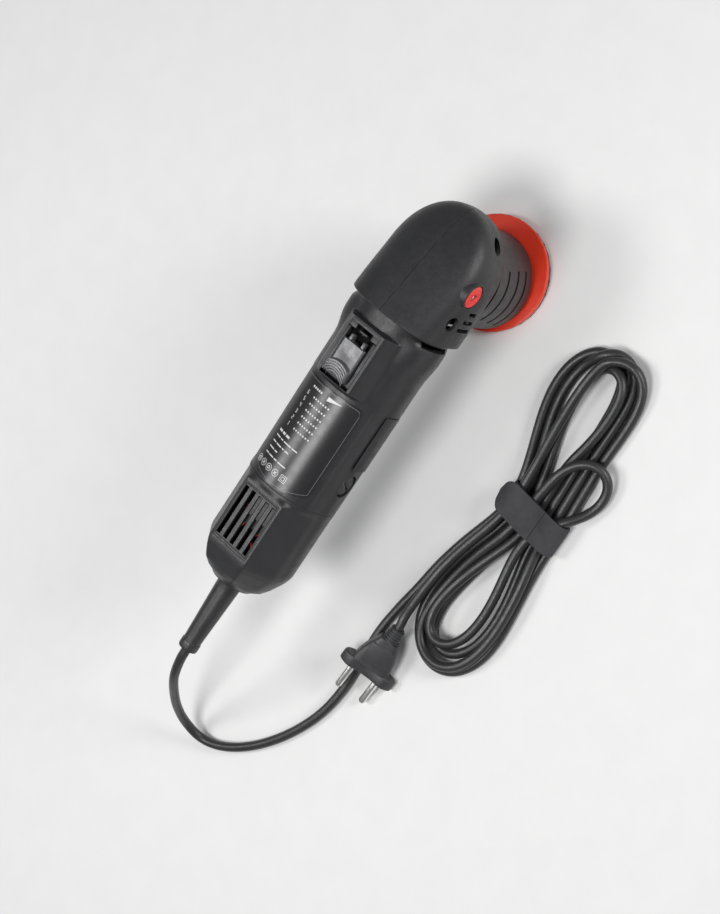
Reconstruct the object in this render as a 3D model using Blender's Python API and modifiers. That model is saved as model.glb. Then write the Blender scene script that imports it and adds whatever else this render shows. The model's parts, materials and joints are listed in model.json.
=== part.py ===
"""A mini dual action polisher: a slim corded motor body, an angle head with bevel gears, and an
eccentric backing plate. Metres, +Z up. The origin is on the pad's working face, on the spindle axis.
The spindle turns about Z and the motor's armature about X."""

import math

import bmesh
import bpy
from mathutils import Matrix, Vector

# ---- driving dimensions, in metres ----
GAP = 0.0003  # clearance between pieces that touch
AXIS_Z = 0.078  # motor axis above the pad's working face
HANDLE_R = 0.0318
WALL = 0.0025
HOUSING_FRONT, HOUSING_REAR = -0.0346, -0.167
COVER_REAR = -0.2415
HEAD_HALF_WIDTH = 0.0355
HEAD_NOSE = 0.042
COLLAR_X = -0.0366
COLLAR_UP, COLLAR_DOWN = 0.0356, 0.036
DOME_SLOPE = 0.278  # fall of the dome's top for each metre towards the nose
HEAD_BOTTOM = 0.058
SHROUD_BOTTOM, SHROUD_TOP = 0.0100, 0.0576
SHROUD_R_BOTTOM, SHROUD_R_TOP = 0.0322, 0.0332
PLATE_R = 0.038
PLATE_RIM_TOP = 0.0065
ORBIT_RADIUS = 0.005
GEAR_HOUSING_R = 0.0283
GEAR_TEETH, PINION_TEETH = 37, 9
CONE_OUTER, CONE_INNER = 0.0215, 0.0155  # where the bevel teeth start and end, along the cone
LOCK_Z = 0.087
LOCK_BUTTON_R = 0.0078
BRUSH_X = -0.1448
PLATFORM_TOP = 0.1138
GRILLE_TOP = 0.1083
GRILLE_FRONT, GRILLE_REAR = -0.172, -0.217
DIAL_CENTRE = (-0.205, 0.0235, 0.080)
DIAL_R = 0.0090
RELIEF_END = -0.2975
CORD_R = 0.0032
PLUG_PIN_SPACING = 0.019
TIE_X, TIE_Y = -0.102, -0.118

CONE_SLOPE = PINION_TEETH / GEAR_TEETH

# The free lead: out of the strain relief, down to the surface, under the plug, along the hank's side.
LEAD_ROUTE = (
    (-0.2260, 0.0000, 0.0780), (-0.2560, 0.0000, 0.0780), (-0.2880, 0.0000, 0.0780),
    (-0.2980, 0.0000, 0.0779), (-0.3090, 0.0008, 0.0758), (-0.3250, 0.0026, 0.0670),
    (-0.3410, 0.0044, 0.0505), (-0.3555, 0.0046, 0.0330), (-0.3670, 0.0010, 0.0165),
    (-0.3722, -0.0100, 0.0070), (-0.3690, -0.0240, 0.0036), (-0.3580, -0.0395, 0.0036),
    (-0.3420, -0.0535, 0.0036), (-0.3220, -0.0655, 0.0036), (-0.3000, -0.0740, 0.0034),
    (-0.2780, -0.0770, 0.0033), (-0.2540, -0.0757, 0.0033), (-0.2290, -0.0742, 0.0033),
    (-0.2080, -0.0760, 0.0034), (-0.1880, -0.0790, 0.0036), (-0.1650, -0.0820, 0.0036),
    (-0.1400, -0.0880, 0.0036), (-0.1280, -0.0920, 0.0036),
)
# The small spare loop that stands out of the tie on the far side, and the plug's own short lead.
LOOP_ROUTE = (
    (-0.0860, -0.1150, 0.0166), (-0.0740, -0.1155, 0.0168), (-0.0610, -0.1205, 0.0168),
    (-0.0530, -0.1290, 0.0168), (-0.0510, -0.1385, 0.0164), (-0.0560, -0.1465, 0.0115),
    (-0.0670, -0.1500, 0.0058), (-0.0790, -0.1480, 0.0040), (-0.0870, -0.1450, 0.0038),
)
PLUG_LEAD_ROUTE = (
    (-0.2127, -0.0876, 0.0141), (-0.2060, -0.0866, 0.0150), (-0.1985, -0.0858, 0.0163),
    (-0.1850, -0.0850, 0.0168), (-0.1650, -0.0865, 0.0168), (-0.1450, -0.0915, 0.0168),
    (-0.1300, -0.0965, 0.0168), (-0.1175, -0.1005, 0.0168),
)
# The folded cord's outline, from its near end along its left side to its far end and back.
HANK_OUTLINE = (
    (-0.2265, -0.1180), (-0.2235, -0.1060), (-0.2100, -0.0940), (-0.1870, -0.0850),
    (-0.1600, -0.0872), (-0.1400, -0.0932), (-0.1250, -0.0968), (-0.1140, -0.0975),
    (-0.0900, -0.0960), (-0.0770, -0.0905), (-0.0560, -0.0805), (-0.0350, -0.0737),
    (-0.0150, -0.0722), (0.0010, -0.0765), (0.0110, -0.0860), (0.0185, -0.1000),
    (0.0195, -0.1150), (0.0120, -0.1295), (-0.0080, -0.1363), (-0.0300, -0.1366),
    (-0.0500, -0.1358), (-0.0750, -0.1372), (-0.0900, -0.1395), (-0.1140, -0.1400),
    (-0.1250, -0.1420), (-0.1400, -0.1443), (-0.1600, -0.1470), (-0.1820, -0.1488),
    (-0.2030, -0.1455), (-0.2190, -0.1355),
)

# ---- colours ----
HOUSING_BLACK = (0.035, 0.035, 0.038)
PLATE_RED = (0.85, 0.06, 0.02)
BUTTON_RED = (0.85, 0.07, 0.06)
STEEL = (0.55, 0.56, 0.58)
COPPER = (0.72, 0.33, 0.14)


def clear_scene():
    for obj in list(bpy.data.objects):
        bpy.data.objects.remove(obj, do_unlink=True)


clear_scene()
PARTS = bpy.data.collections.new("dual_action_polisher")
CUTTERS = bpy.data.collections.new("cutters")
bpy.context.scene.collection.children.link(PARTS)
bpy.context.scene.collection.children.link(CUTTERS)


# ---- small tools ----
def material(name, colour, roughness, metallic=0.0):
    found = bpy.data.materials.get(name)
    if found:
        return found
    mat = bpy.data.materials.new(name)
    mat.use_nodes = True
    shader = mat.node_tree.nodes["Principled BSDF"]
    shader.inputs["Base Color"].default_value = (*colour, 1.0)
    shader.inputs["Roughness"].default_value = roughness
    shader.inputs["Metallic"].default_value = metallic
    return mat


BLACK = material("housing_black", HOUSING_BLACK, 0.55)
SOFT_BLACK = material("soft_black", (0.03, 0.03, 0.032), 0.6)
STEEL_MAT = material("steel", STEEL, 0.3, 1.0)
ALUMINIUM = material("cast_aluminium", (0.6, 0.6, 0.61), 0.45, 1.0)
COPPER_MAT = material("copper", COPPER, 0.35, 1.0)
BRASS = material("brass", (0.75, 0.55, 0.25), 0.3, 1.0)
RED_PLATE = material("plate_red", PLATE_RED, 0.45)
RED_BUTTON = material("button_red", BUTTON_RED, 0.4)
RUBBER = material("rubber_black", (0.025, 0.025, 0.026), 0.75)
CARBON = material("carbon", (0.03, 0.03, 0.03), 0.6)
PLASTIC_GREY = material("plastic_grey", (0.2, 0.2, 0.21), 0.5)


def put(name, mesh, mat, helper=False):
    obj = bpy.data.objects.new(name, mesh)
    (CUTTERS if helper else PARTS).objects.link(obj)
    if helper:
        obj.hide_render = True
        obj.display_type = "WIRE"
    elif mat:
        mesh.materials.append(mat)
    return obj


def finish_mesh(bm, name, smooth=True):
    bmesh.ops.recalc_face_normals(bm, faces=bm.faces)
    mesh = bpy.data.meshes.new(name)
    bm.to_mesh(mesh)
    bm.free()
    if smooth:
        mesh.shade_smooth()
        mesh.set_sharp_from_angle(angle=math.radians(35))
    return mesh


def box(name, low, high, mat=None, helper=False, bevel=0.0):
    bm = bmesh.new()
    bmesh.ops.create_cube(bm, size=1.0)
    low, high = Vector(low), Vector(high)
    for vert in bm.verts:
        vert.co = Vector((low[i] + (vert.co[i] + 0.5) * (high[i] - low[i]) for i in range(3)))
    obj = put(name, finish_mesh(bm, name, smooth=False), mat, helper)
    if bevel:
        rounding = obj.modifiers.new("round", "BEVEL")
        rounding.width = bevel
        rounding.segments = 1
    return obj


def aim(obj, axis, at):
    """Turns an object made about its own Z so that it lies about the named world axis."""
    turn = {"Z": (0, 0, 0), "X": (0, math.pi / 2, 0), "Y": (-math.pi / 2, 0, 0)}[axis]
    obj.rotation_euler = turn
    obj.location = at
    return obj


def rod(name, radius, start, end, axis, at=(0, 0, 0), mat=None, helper=False, segments=24):
    """A cylinder from start to end along an axis through the point at."""
    bm = bmesh.new()
    bmesh.ops.create_cone(bm, cap_ends=True, segments=segments, radius1=radius, radius2=radius,
                          depth=end - start)
    bmesh.ops.translate(bm, verts=bm.verts, vec=(0, 0, (start + end) / 2))
    return aim(put(name, finish_mesh(bm, name), mat, helper), axis, at)


def turned(name, profile, axis="Z", at=(0, 0, 0), mat=None, helper=False, steps=32):
    """A lathe shape. The profile is (radius, place along the axis), down its outer side from the top.
    A profile that starts and ends on the axis is solid, and any other is closed into a ring."""
    bm = bmesh.new()
    verts = [bm.verts.new((r, 0, z)) for r, z in profile]
    for a, b in zip(verts, verts[1:]):
        bm.edges.new((a, b))
    if profile[0][0] > 0:
        bm.edges.new((verts[-1], verts[0]))
    mesh = bpy.data.meshes.new(name)
    bm.to_mesh(mesh)
    bm.free()
    obj = aim(put(name, mesh, mat, helper), axis, at)
    screw = obj.modifiers.new("turn", "SCREW")
    screw.axis = "Z"
    screw.steps = screw.render_steps = steps
    screw.use_merge_vertices = True
    screw.merge_threshold = 0.00001
    screw.use_smooth_shade = False
    return obj


def flank(side, near, far):
    """The low and high Y of something on one side of the middle plane."""
    return sorted((near * side, far * side))


def boolean(target, other, operation):
    mod = target.modifiers.new(other.name, "BOOLEAN")
    mod.operation = operation
    mod.solver = "EXACT"
    mod.object = other


def cut(target, *others):
    for other in others:
        boolean(target, other, "DIFFERENCE")


def join(target, *others):
    for other in others:
        boolean(target, other, "UNION")


def ring_points(x, half_width, up, down, power, count):
    """A closed superellipse outline about the motor axis, at one place along X."""
    points = []
    for i in range(count):
        a = 2 * math.pi * (i + 0.5) / count
        y, z = math.cos(a), math.sin(a)
        height = up if z > 0 else down
        y = math.copysign(abs(y) ** (2 / power), y) * half_width
        z = math.copysign(abs(z) ** (2 / power), z) * height
        points.append((x, y, AXIS_Z + z))
    return points


def loft(name, rings, mat, helper=False, caps=(False, False), thickness=0.0):
    """Skins rings of equal count, with each end capped or open. An open skin is thickened inwards."""
    bm = bmesh.new()
    rows = [[bm.verts.new(p) for p in ring] for ring in rings]
    count = len(rows[0])
    for a, b in zip(rows, rows[1:]):
        for i in range(count):
            j = (i + 1) % count
            bm.faces.new((a[i], a[j], b[j], b[i]))
    if caps[0]:
        bm.faces.new(rows[0][::-1])
    if caps[1]:
        bm.faces.new(rows[-1])
    obj = put(name, finish_mesh(bm, name), mat, helper)
    if thickness:
        outward(obj.data)
        shell = obj.modifiers.new("wall", "SOLIDIFY")
        shell.thickness = thickness
        shell.offset = -1.0
        shell.use_even_offset = True
    return obj


def outward(mesh):
    """Flips an open skin whose faces point towards the motor axis."""
    total = 0.0
    for face in mesh.polygons:
        total += face.normal.dot(face.center - Vector((face.center.x, 0, AXIS_Z))) * face.area
    if total < 0:
        mesh.flip_normals()


def smooth_path(points, spacing):
    """Evenly spaced points on a Catmull-Rom curve through the given ones."""
    knots = [Vector(p) for p in points]
    knots = [2 * knots[0] - knots[1]] + knots + [2 * knots[-1] - knots[-2]]
    fine = []
    for k in range(1, len(knots) - 2):
        a, b, c, d = knots[k - 1:k + 3]
        for s in range(24):
            t = s / 24
            fine.append(0.5 * (2 * b + (c - a) * t + (2 * a - 5 * b + 4 * c - d) * t ** 2
                               + (3 * b - 3 * c + d - a) * t ** 3))
    fine.append(knots[-2])
    lengths = [0.0]
    for a, b in zip(fine, fine[1:]):
        lengths.append(lengths[-1] + (b - a).length)
    count = max(2, round(lengths[-1] / spacing))
    path, k = [], 0
    for i in range(count + 1):
        want = lengths[-1] * i / count
        while k < len(fine) - 2 and lengths[k + 1] < want:
            k += 1
        span = lengths[k + 1] - lengths[k]
        path.append(fine[k].lerp(fine[k + 1], (want - lengths[k]) / span if span else 0))
    return path


def tube(name, path, radius, mat, closed=False, resolution=2):
    curve = bpy.data.curves.new(name, "CURVE")
    curve.dimensions = "3D"
    curve.bevel_depth = radius
    curve.bevel_resolution = resolution
    curve.use_fill_caps = True
    spline = curve.splines.new("POLY")
    spline.points.add(len(path) - 1)
    for point, place in zip(spline.points, path):
        point.co = (*place, 1.0)
    spline.use_cyclic_u = closed
    curve.materials.append(mat)
    obj = bpy.data.objects.new(name, curve)
    PARTS.objects.link(obj)
    return obj


def pivot(name, at):
    empty = bpy.data.objects.new(name, None)
    PARTS.objects.link(empty)
    empty.location = at
    return empty


def hang(empty, *objects):
    """Parents objects to an empty without moving them."""
    bpy.context.view_layer.update()
    for obj in objects:
        obj.parent = empty
        obj.matrix_parent_inverse = empty.matrix_world.inverted()


# ---- motor body ----
def handle_features(housing):
    platform = box("platform_block", (-0.092, -0.014, 0.100), (-0.0465, 0.014, PLATFORM_TOP),
                   helper=True, bevel=0.002)
    rear_wall = rod("rear_wall_disc", 0.0300, -0.1668, -0.1635, "X", (0, 0, AXIS_Z), helper=True,
                    segments=32)
    boss = rod("rear_bearing_boss", 0.0128, -0.1700, -0.1590, "X", (0, 0, AXIS_Z), helper=True)
    join(housing, platform, rear_wall, boss)
    hollow = rod("platform_hollow", HANDLE_R - WALL, -0.095, -0.040, "X", (0, 0, AXIS_Z), helper=True,
                 segments=32)
    pocket = box("slider_pocket", (-0.0885, -0.0118, 0.1092), (-0.0495, 0.0118, 0.120), helper=True)
    leg_slot = box("slider_leg_slot", (-0.0845, -0.0034, 0.095), (-0.0655, 0.0034, 0.120), helper=True)
    sleeve_pocket = rod("sleeve_pocket", 0.0108, -0.1682, -0.1500, "X", (0, 0, AXIS_Z), helper=True)
    shaft_hole = rod("shaft_hole", 0.0045, -0.1720, -0.1500, "X", (0, 0, AXIS_Z), helper=True)
    link_slot = box("link_slot", (-0.172, -0.0036, 0.1022), (-0.160, 0.0036, 0.1052), helper=True)
    cut(housing, hollow, pocket, leg_slot, sleeve_pocket, shaft_hole, link_slot)
    for side in (1, -1):
        wire_hole = rod("wire_hole", 0.0045, -0.172, -0.158, "X", (0, 0.019 * side, AXIS_Z + 0.010),
                        helper=True, segments=12)
        low, high = flank(side, 0.024, 0.040)
        vent = box("collar_vent", (-0.0418, low, 0.0715), (-0.0386, high, 0.0965), helper=True)
        low, high = flank(side, 0.020, 0.040)
        brush_bore = rod("brush_bore", 0.0082, low, high, "Y", (BRUSH_X, 0, AXIS_Z), helper=True)
        cut(housing, wire_hole, vent, brush_bore)


def motor_housing():
    stations = (HOUSING_FRONT, HOUSING_REAR)
    rings = [ring_points(x, HANDLE_R - 0.0002, HANDLE_R, HANDLE_R, 2.0, 32) for x in stations]
    housing = loft("motor_housing", rings, BLACK, thickness=WALL)
    handle_features(housing)
    return housing


def rear_cover():
    shape = ((HOUSING_REAR - GAP, 0.0312), (-0.218, 0.0300), (-0.2275, 0.0268), (-0.2365, 0.0222),
             (COVER_REAR, 0.0165), (COVER_REAR, 0.0087))
    rings = [ring_points(x, r, r, r, 2.0, 28) for x, r in shape]
    cover = loft("rear_cover", rings, BLACK, thickness=0.0023)
    block = box("grille_block", (GRILLE_REAR, -0.0170, 0.0970), (GRILLE_FRONT, 0.0170, GRILLE_TOP),
                helper=True, bevel=0.001)
    join(cover, block)
    cut(cover, box("grille_hollow", (-0.2145, -0.0145, 0.0900), (-0.1745, 0.0145, 0.1059), helper=True),
        box("link_way", (-0.1760, -0.0036, 0.0950), (-0.1660, 0.0036, 0.1052), helper=True))
    for k in range(-2, 3):
        y = 0.0060 * k
        cut(cover, box("grille_slot", (-0.2125, y - 0.0015, 0.1000), (-0.1765, y + 0.0015, 0.1200),
                       helper=True))
    cut(cover, box("dial_slot", (-0.2145, 0.0200, DIAL_CENTRE[2] - 0.0026),
                   (-0.1955, 0.0400, DIAL_CENTRE[2] + 0.0026), helper=True))
    return cover


# ---- angle head ----
def head_profile(x):
    """Half width, height above and depth below the motor axis, at one place along the head."""
    forward = min(max(x, 0.0) / HEAD_NOSE, 0.9999)
    line = COLLAR_UP - DOME_SLOPE * (x - COLLAR_X)
    return (HEAD_HALF_WIDTH * math.sqrt(1 - forward ** 2),
            line * (1 - forward ** 3.2) ** (1 / 3.2),
            COLLAR_DOWN * (1 - forward ** 2.6) ** (1 / 2.6))


def head_stations():
    straight = [COLLAR_X, 0.0]
    nose = [HEAD_NOSE * math.sin(math.radians(a)) for a in (15, 29, 42, 54, 65, 75)]
    return straight + nose


def head_skin(name):
    rings = [ring_points(x, *head_profile(x), 2.6, 28) for x in head_stations()]
    return loft(name, rings, BLACK, caps=(False, True), thickness=0.0023)


def head_half(name, side):
    """One half of the head's outer cover. The two halves meet in the plane of the two axes."""
    half = head_skin(name)
    low_cut = box("head_floor_cut", (-0.0215, -0.05, 0.0), (0.06, 0.05, HEAD_BOTTOM), helper=True)
    scoop = rod("head_scoop", 0.0342, 0.0, HEAD_BOTTOM, "Z", helper=True, segments=32)
    if side < 0:
        join(half, rod("lock_boss", 0.0104, -0.0354, -0.0300, "Y", (0, 0, LOCK_Z), helper=True))
    cut(half, low_cut, scoop)
    low, high = flank(side, 0.0100, 0.0500)
    for x, z, radius in ((0.0307, 0.0742, 0.0043), (-0.0203, 0.0905, 0.0048)):
        cut(half, rod("screw_well", radius, low, high, "Y", (x, 0, z), helper=True, segments=16))
    low, high = flank(side, 0.0250, 0.0450)
    for x, foot, top in ((-0.0115, 0.0695, 0.0785), (-0.0173, 0.0670, 0.0800), (-0.0231, 0.0650, 0.0815)):
        cut(half, box("short_vent", (x - 0.0013, low, foot), (x + 0.0013, high, top), helper=True))
    if side < 0:
        cut(half, rod("lock_bore", LOCK_BUTTON_R + GAP, -0.0500, -0.0200, "Y", (0, 0, LOCK_Z), helper=True))
    low, high = flank(-side, -GAP / 2, 0.08)
    cut(half, box("other_half", (-0.08, low, 0.0), (0.08, high, 0.2), helper=True))
    return half


def gear_housing():
    """The casting that holds the gears, the front armature bearing and the upper spindle bearing."""
    profile = ((0.0, 0.0932), (0.0190, 0.0932), (0.0255, 0.0895), (GEAR_HOUSING_R, 0.0840),
               (GEAR_HOUSING_R, 0.0628), (0.0, 0.0628))
    body = turned("gear_housing", profile, mat=ALUMINIUM, steps=24)
    cavity = turned("gear_cavity", ((0.0, 0.0904), (0.0236, 0.0904), (0.0244, 0.0700), (0.0210, 0.0690),
                                    (0.0210, 0.0600), (0.0, 0.0600)), helper=True, steps=24)
    cut(body, cavity)
    boss = rod("front_bearing_boss", 0.0138, -0.0400, -0.0240, "X", (0, 0, AXIS_Z), helper=True,
               segments=24)
    flange = rod("housing_flange", 0.0310, -0.0343, -0.0305, "X", (0, 0, AXIS_Z), helper=True,
                 segments=32)
    top = rod("top_bearing_boss", 0.0100, 0.0910, 0.0956, "Z", helper=True, segments=20)
    join(body, boss, flange, top)
    below = box("housing_floor_cut", (-0.08, -0.05, 0.0), (0.05, 0.05, 0.0628), helper=True)
    bearing = rod("front_bearing_pocket", 0.0113, -0.0450, -0.0282, "X", (0, 0, AXIS_Z), helper=True,
                  segments=24)
    passage = rod("pinion_passage", 0.0070, -0.0450, -0.0150, "X", (0, 0, AXIS_Z), helper=True)
    top_pocket = rod("top_bearing_pocket", 0.0083, 0.0850, 0.0944, "Z", helper=True, segments=20)
    pin_hole = rod("lock_pin_hole", 0.0027, -0.0400, -0.0200, "Y", (0, 0, LOCK_Z), helper=True,
                   segments=12)
    spring_seat = rod("spring_seat", 0.0058, -0.0400, -0.0262, "Y", (0, 0, LOCK_Z), helper=True,
                      segments=16)
    cut(body, below, bearing, passage, top_pocket, pin_hole, spring_seat)
    for x, y in screw_places():
        cut(body, rod("tapped_hole", 0.0021, 0.0600, 0.0690, "Z", (x, y, 0), helper=True, segments=12))
    return body


def screw_places():
    """Centres of the two long screws that hold the shroud and the bearing plate to the gear housing."""
    return [(0.0246 * math.cos(a), 0.0246 * math.sin(a)) for a in (math.radians(45), math.radians(225))]


def bearing_plate():
    profile = ((0.0288, 0.0625), (0.0288, 0.0579), (0.0160, 0.0579), (0.0160, 0.0490), (0.0133, 0.0490),
               (0.0133, 0.0585), (0.0075, 0.0585), (0.0075, 0.0625))
    plate = turned("bearing_plate", profile, mat=ALUMINIUM, steps=24)
    for x, y in screw_places():
        cut(plate, rod("plate_hole", 0.0021, 0.050, 0.070, "Z", (x, y, 0), helper=True, segments=12))
    return plate


def arc_block(name, r_in, r_out, low, high, start, end, steps=5):
    """A curved bar about the spindle axis, used to cut the shroud's slots."""
    bm = bmesh.new()
    rings = []
    for i in range(steps + 1):
        a = math.radians(start + (end - start) * i / steps)
        c, s = math.cos(a), math.sin(a)
        rings.append([bm.verts.new((r * c, r * s, z))
                      for r, z in ((r_in, low), (r_out, low), (r_out, high), (r_in, high))])
    for a, b in zip(rings, rings[1:]):
        for i in range(4):
            j = (i + 1) % 4
            bm.faces.new((a[i], a[j], b[j], b[i]))
    bm.faces.new(rings[0][::-1])
    bm.faces.new(rings[-1])
    return put(name, finish_mesh(bm, name, smooth=False), None, helper=True)


def shroud():
    profile = ((SHROUD_R_TOP, SHROUD_TOP), (SHROUD_R_BOTTOM, SHROUD_BOTTOM),
               (SHROUD_R_BOTTOM - 0.0022, SHROUD_BOTTOM), (SHROUD_R_TOP - 0.0022, SHROUD_TOP - 0.0030),
               (0.0164, SHROUD_TOP - 0.0030), (0.0164, SHROUD_TOP))
    skirt = turned("shroud", profile, mat=BLACK, steps=28)
    for centre in (-88, 92):
        for z, spread in ((0.0455, 33), (0.0320, 36), (0.0205, 38)):
            cut(skirt, arc_block("shroud_slot", 0.025, 0.040, z - 0.0013, z + 0.0013,
                                 centre - spread, centre + spread))
    for x, y in screw_places():
        cut(skirt, rod("shroud_hole", 0.0021, 0.050, 0.060, "Z", (x, y, 0), helper=True, segments=12))
    return skirt


# ---- motor ----
def ball_bearing(name, inner, outer, width, axis, at):
    """A sealed ball bearing, as the plain ring of its outer sizes."""
    h = width / 2
    profile = ((outer, h), (outer, -h), (inner, -h), (inner, h))
    return turned(name, profile, axis, at, STEEL_MAT, steps=20)


def field_core():
    core = turned("field_core", ((0.0270, -0.075), (0.0270, -0.115), (0.0146, -0.115), (0.0146, -0.075)),
                  "X", (0, 0, AXIS_Z), STEEL_MAT, steps=20)
    for y in (-0.0190, 0.0190):
        for z in (-0.0065, 0.0065):
            cut(core, rod("coil_hole", 0.0036, -0.13, -0.06, "X", (0, y, AXIS_Z + z), helper=True,
                          segments=10))
    return core


def field_coil(name, side):
    """A saddle winding: two legs through the core, joined by an arc over the armature at each end."""
    radius = math.hypot(0.0190, 0.0065)
    first = math.atan2(0.0065, 0.0190)
    arc = [first + (math.pi - 2 * first) * i / 6 for i in range(7)]
    front = [(-0.0708, radius * math.cos(a), AXIS_Z + side * radius * math.sin(a)) for a in arc]
    back = [(-0.1192, y, z) for _, y, z in reversed(front)]
    return tube(name, front + back, 0.0030, COPPER_MAT, closed=True)


def armature():
    shaft = turned("armature_shaft", (
        (0.0, -0.0150), (0.0021, -0.0150), (0.0021, -0.0268), (0.0037, -0.0272), (0.0037, -0.0410),
        (0.0045, -0.0412), (0.0045, -0.1570), (0.0027, -0.1575), (0.0027, -0.1672), (0.0, -0.1672)),
        "X", (0, 0, AXIS_Z), STEEL_MAT, steps=14)
    core = turned("armature_core", ((0.0137, -0.0740), (0.0137, -0.1160), (0.0048, -0.1160),
                                    (0.0048, -0.0740)), "X", (0, 0, AXIS_Z), STEEL_MAT, steps=24)
    for k in range(12):
        a = 2 * math.pi * k / 12
        slot = box("armature_slot", (-0.13, -0.0006, 0.0118), (-0.06, 0.0006, 0.0150), helper=True)
        slot.rotation_euler = (a, 0, 0)
        slot.location = (0, 0, AXIS_Z)
        cut(core, slot)
    windings = []
    for name, start, end in (("armature_winding_front", -0.0735, -0.0655),
                             ("armature_winding_rear", -0.1255, -0.1165)):
        mid = (start + end) / 2
        windings.append(turned(name, ((0.0085, end), (0.0122, mid + 0.002), (0.0122, mid - 0.002),
                                      (0.0085, start), (0.0048, start), (0.0048, end)),
                               "X", (0, 0, AXIS_Z), COPPER_MAT, steps=16))
    commutator = turned("commutator", ((0.0112, -0.1360), (0.0112, -0.1378), (0.0100, -0.1382),
                                       (0.0100, -0.1520), (0.0048, -0.1520), (0.0048, -0.1360)),
                        "X", (0, 0, AXIS_Z), COPPER_MAT, steps=16)
    return [shaft, core, *windings, commutator, cooling_fan(), bevel_pinion()]


def cooling_fan():
    fan = turned("cooling_fan", ((0.0075, -0.0430), (0.0075, -0.0525), (0.0250, -0.0525),
                                 (0.0250, -0.0540), (0.0048, -0.0540), (0.0048, -0.0430)),
                 "X", (0, 0, AXIS_Z), SOFT_BLACK, steps=24)
    for k in range(8):
        blade = box("fan_blade", (-0.0530, -0.0007, 0.0070), (-0.0440, 0.0007, 0.0240), helper=True)
        blade.rotation_euler = (2 * math.pi * k / 8, 0, 0)
        blade.location = (0, 0, AXIS_Z)
        join(fan, blade)
    return fan


def tooth_ring(teeth, pitch_radius, tip, root, share):
    """Heights of a straight tooth profile round a circle: (angle, height off the pitch line)."""
    step = 2 * math.pi / teeth
    half_tip, half_root = share * step * 0.5, share * step * 1.25
    ring = []
    for k in range(teeth):
        centre = k * step
        ring += [(centre - half_root, -root), (centre - half_tip, tip),
                 (centre + half_tip, tip), (centre + half_root, -root)]
    return [(a, pitch_radius, h) for a, h in ring]


def bevel_pinion():
    """Nine straight teeth that shrink towards the point where the two axes cross."""
    pitch = CONE_SLOPE * CONE_OUTER
    outer = tooth_ring(PINION_TEETH, pitch, 0.00070, 0.00095, 0.30)
    half_step = math.pi / PINION_TEETH
    shrink = CONE_INNER / CONE_OUTER
    bm = bmesh.new()
    rings = []
    for x, scale, bore in ((CONE_OUTER, 1.0, None), (CONE_INNER, shrink, None),
                           (CONE_INNER, shrink, 0.0024), (CONE_OUTER + 0.0040, 1.0, 0.0024),
                           (CONE_OUTER + 0.0040, 1.0, 0.0041), (CONE_OUTER, 1.0, 0.0041)):
        ring = []
        for a, r, h in outer:
            radius = (r + h) * scale if bore is None else bore
            turn = a + half_step
            ring.append(bm.verts.new((-x, radius * math.sin(turn), AXIS_Z + radius * math.cos(turn))))
        rings.append(ring)
    for a, b in zip(rings, rings[1:] + rings[:1]):
        for i in range(len(a)):
            j = (i + 1) % len(a)
            bm.faces.new((a[i], a[j], b[j], b[i]))
    return put("bevel_pinion", finish_mesh(bm, "bevel_pinion"), STEEL_MAT)


def crown_gear():
    """The driven bevel gear, teeth down, on the spindle above the pinion."""
    outer = tooth_ring(GEAR_TEETH, CONE_OUTER, 0.00065, 0.00095, 0.22)
    shrink = CONE_INNER / CONE_OUTER
    back, bore, hub = 0.0890, 0.0053, 0.0095
    bm = bmesh.new()
    rings = []
    for radius, toothed in ((CONE_OUTER, 1.0), (CONE_INNER, shrink), (CONE_INNER, 0), (CONE_OUTER, 0)):
        ring = []
        for a, _, h in outer:
            turn = a + math.pi
            height = AXIS_Z + CONE_SLOPE * radius - h * toothed if toothed else back
            ring.append(bm.verts.new((radius * math.cos(turn), radius * math.sin(turn), height)))
        rings.append(ring)
    for a, b in zip(rings, rings[1:] + rings[:1]):
        for i in range(len(a)):
            j = (i + 1) % len(a)
            bm.faces.new((a[i], a[j], b[j], b[i]))
    gear = put("crown_gear", finish_mesh(bm, "crown_gear"), STEEL_MAT)
    web = turned("gear_web", ((0.0165, 0.0886), (0.0165, 0.0850), (hub, 0.0850), (hub, 0.0812),
                              (bore, 0.0812), (bore, 0.0886)), helper=True, steps=16)
    join(gear, web)
    return gear


def brush_gear(side, label):
    low, high = flank(side, 0.0103, 0.0215)
    brush = box(f"carbon_brush_{label}", (BRUSH_X - 0.0024, low, AXIS_Z - 0.0036),
                (BRUSH_X + 0.0024, high, AXIS_Z + 0.0036), CARBON)
    low, high = flank(side, 0.0125, 0.0262)
    holder = box(f"brush_holder_{label}", (BRUSH_X - 0.0042, low, AXIS_Z - 0.0054),
                 (BRUSH_X + 0.0042, high, AXIS_Z + 0.0054), BRASS)
    low, high = flank(side, 0.0100, 0.0300)
    cut(holder, box("brush_way", (BRUSH_X - 0.0027, low, AXIS_Z - 0.0039),
                    (BRUSH_X + 0.0027, high, AXIS_Z + 0.0039), helper=True))
    cap = turned(f"brush_cap_{label}", ((0.0, 0.0298), (0.0070, 0.0298), (0.0078, 0.0290), (0.0078, 0.0268),
                                        (0.0, 0.0268)), "Y", (BRUSH_X, 0, AXIS_Z), SOFT_BLACK, steps=24)
    if side < 0:
        cap.rotation_euler = (math.pi / 2, 0, 0)
    low, high = flank(side, 0.0288, 0.0320)
    slot = box("cap_slot", (-0.0009, low, -0.0056), (0.0009, high, 0.0056), helper=True)
    slot.rotation_euler = (0, math.radians(35), 0)
    slot.location = (BRUSH_X, 0, AXIS_Z)
    cut(cap, slot)


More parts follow.
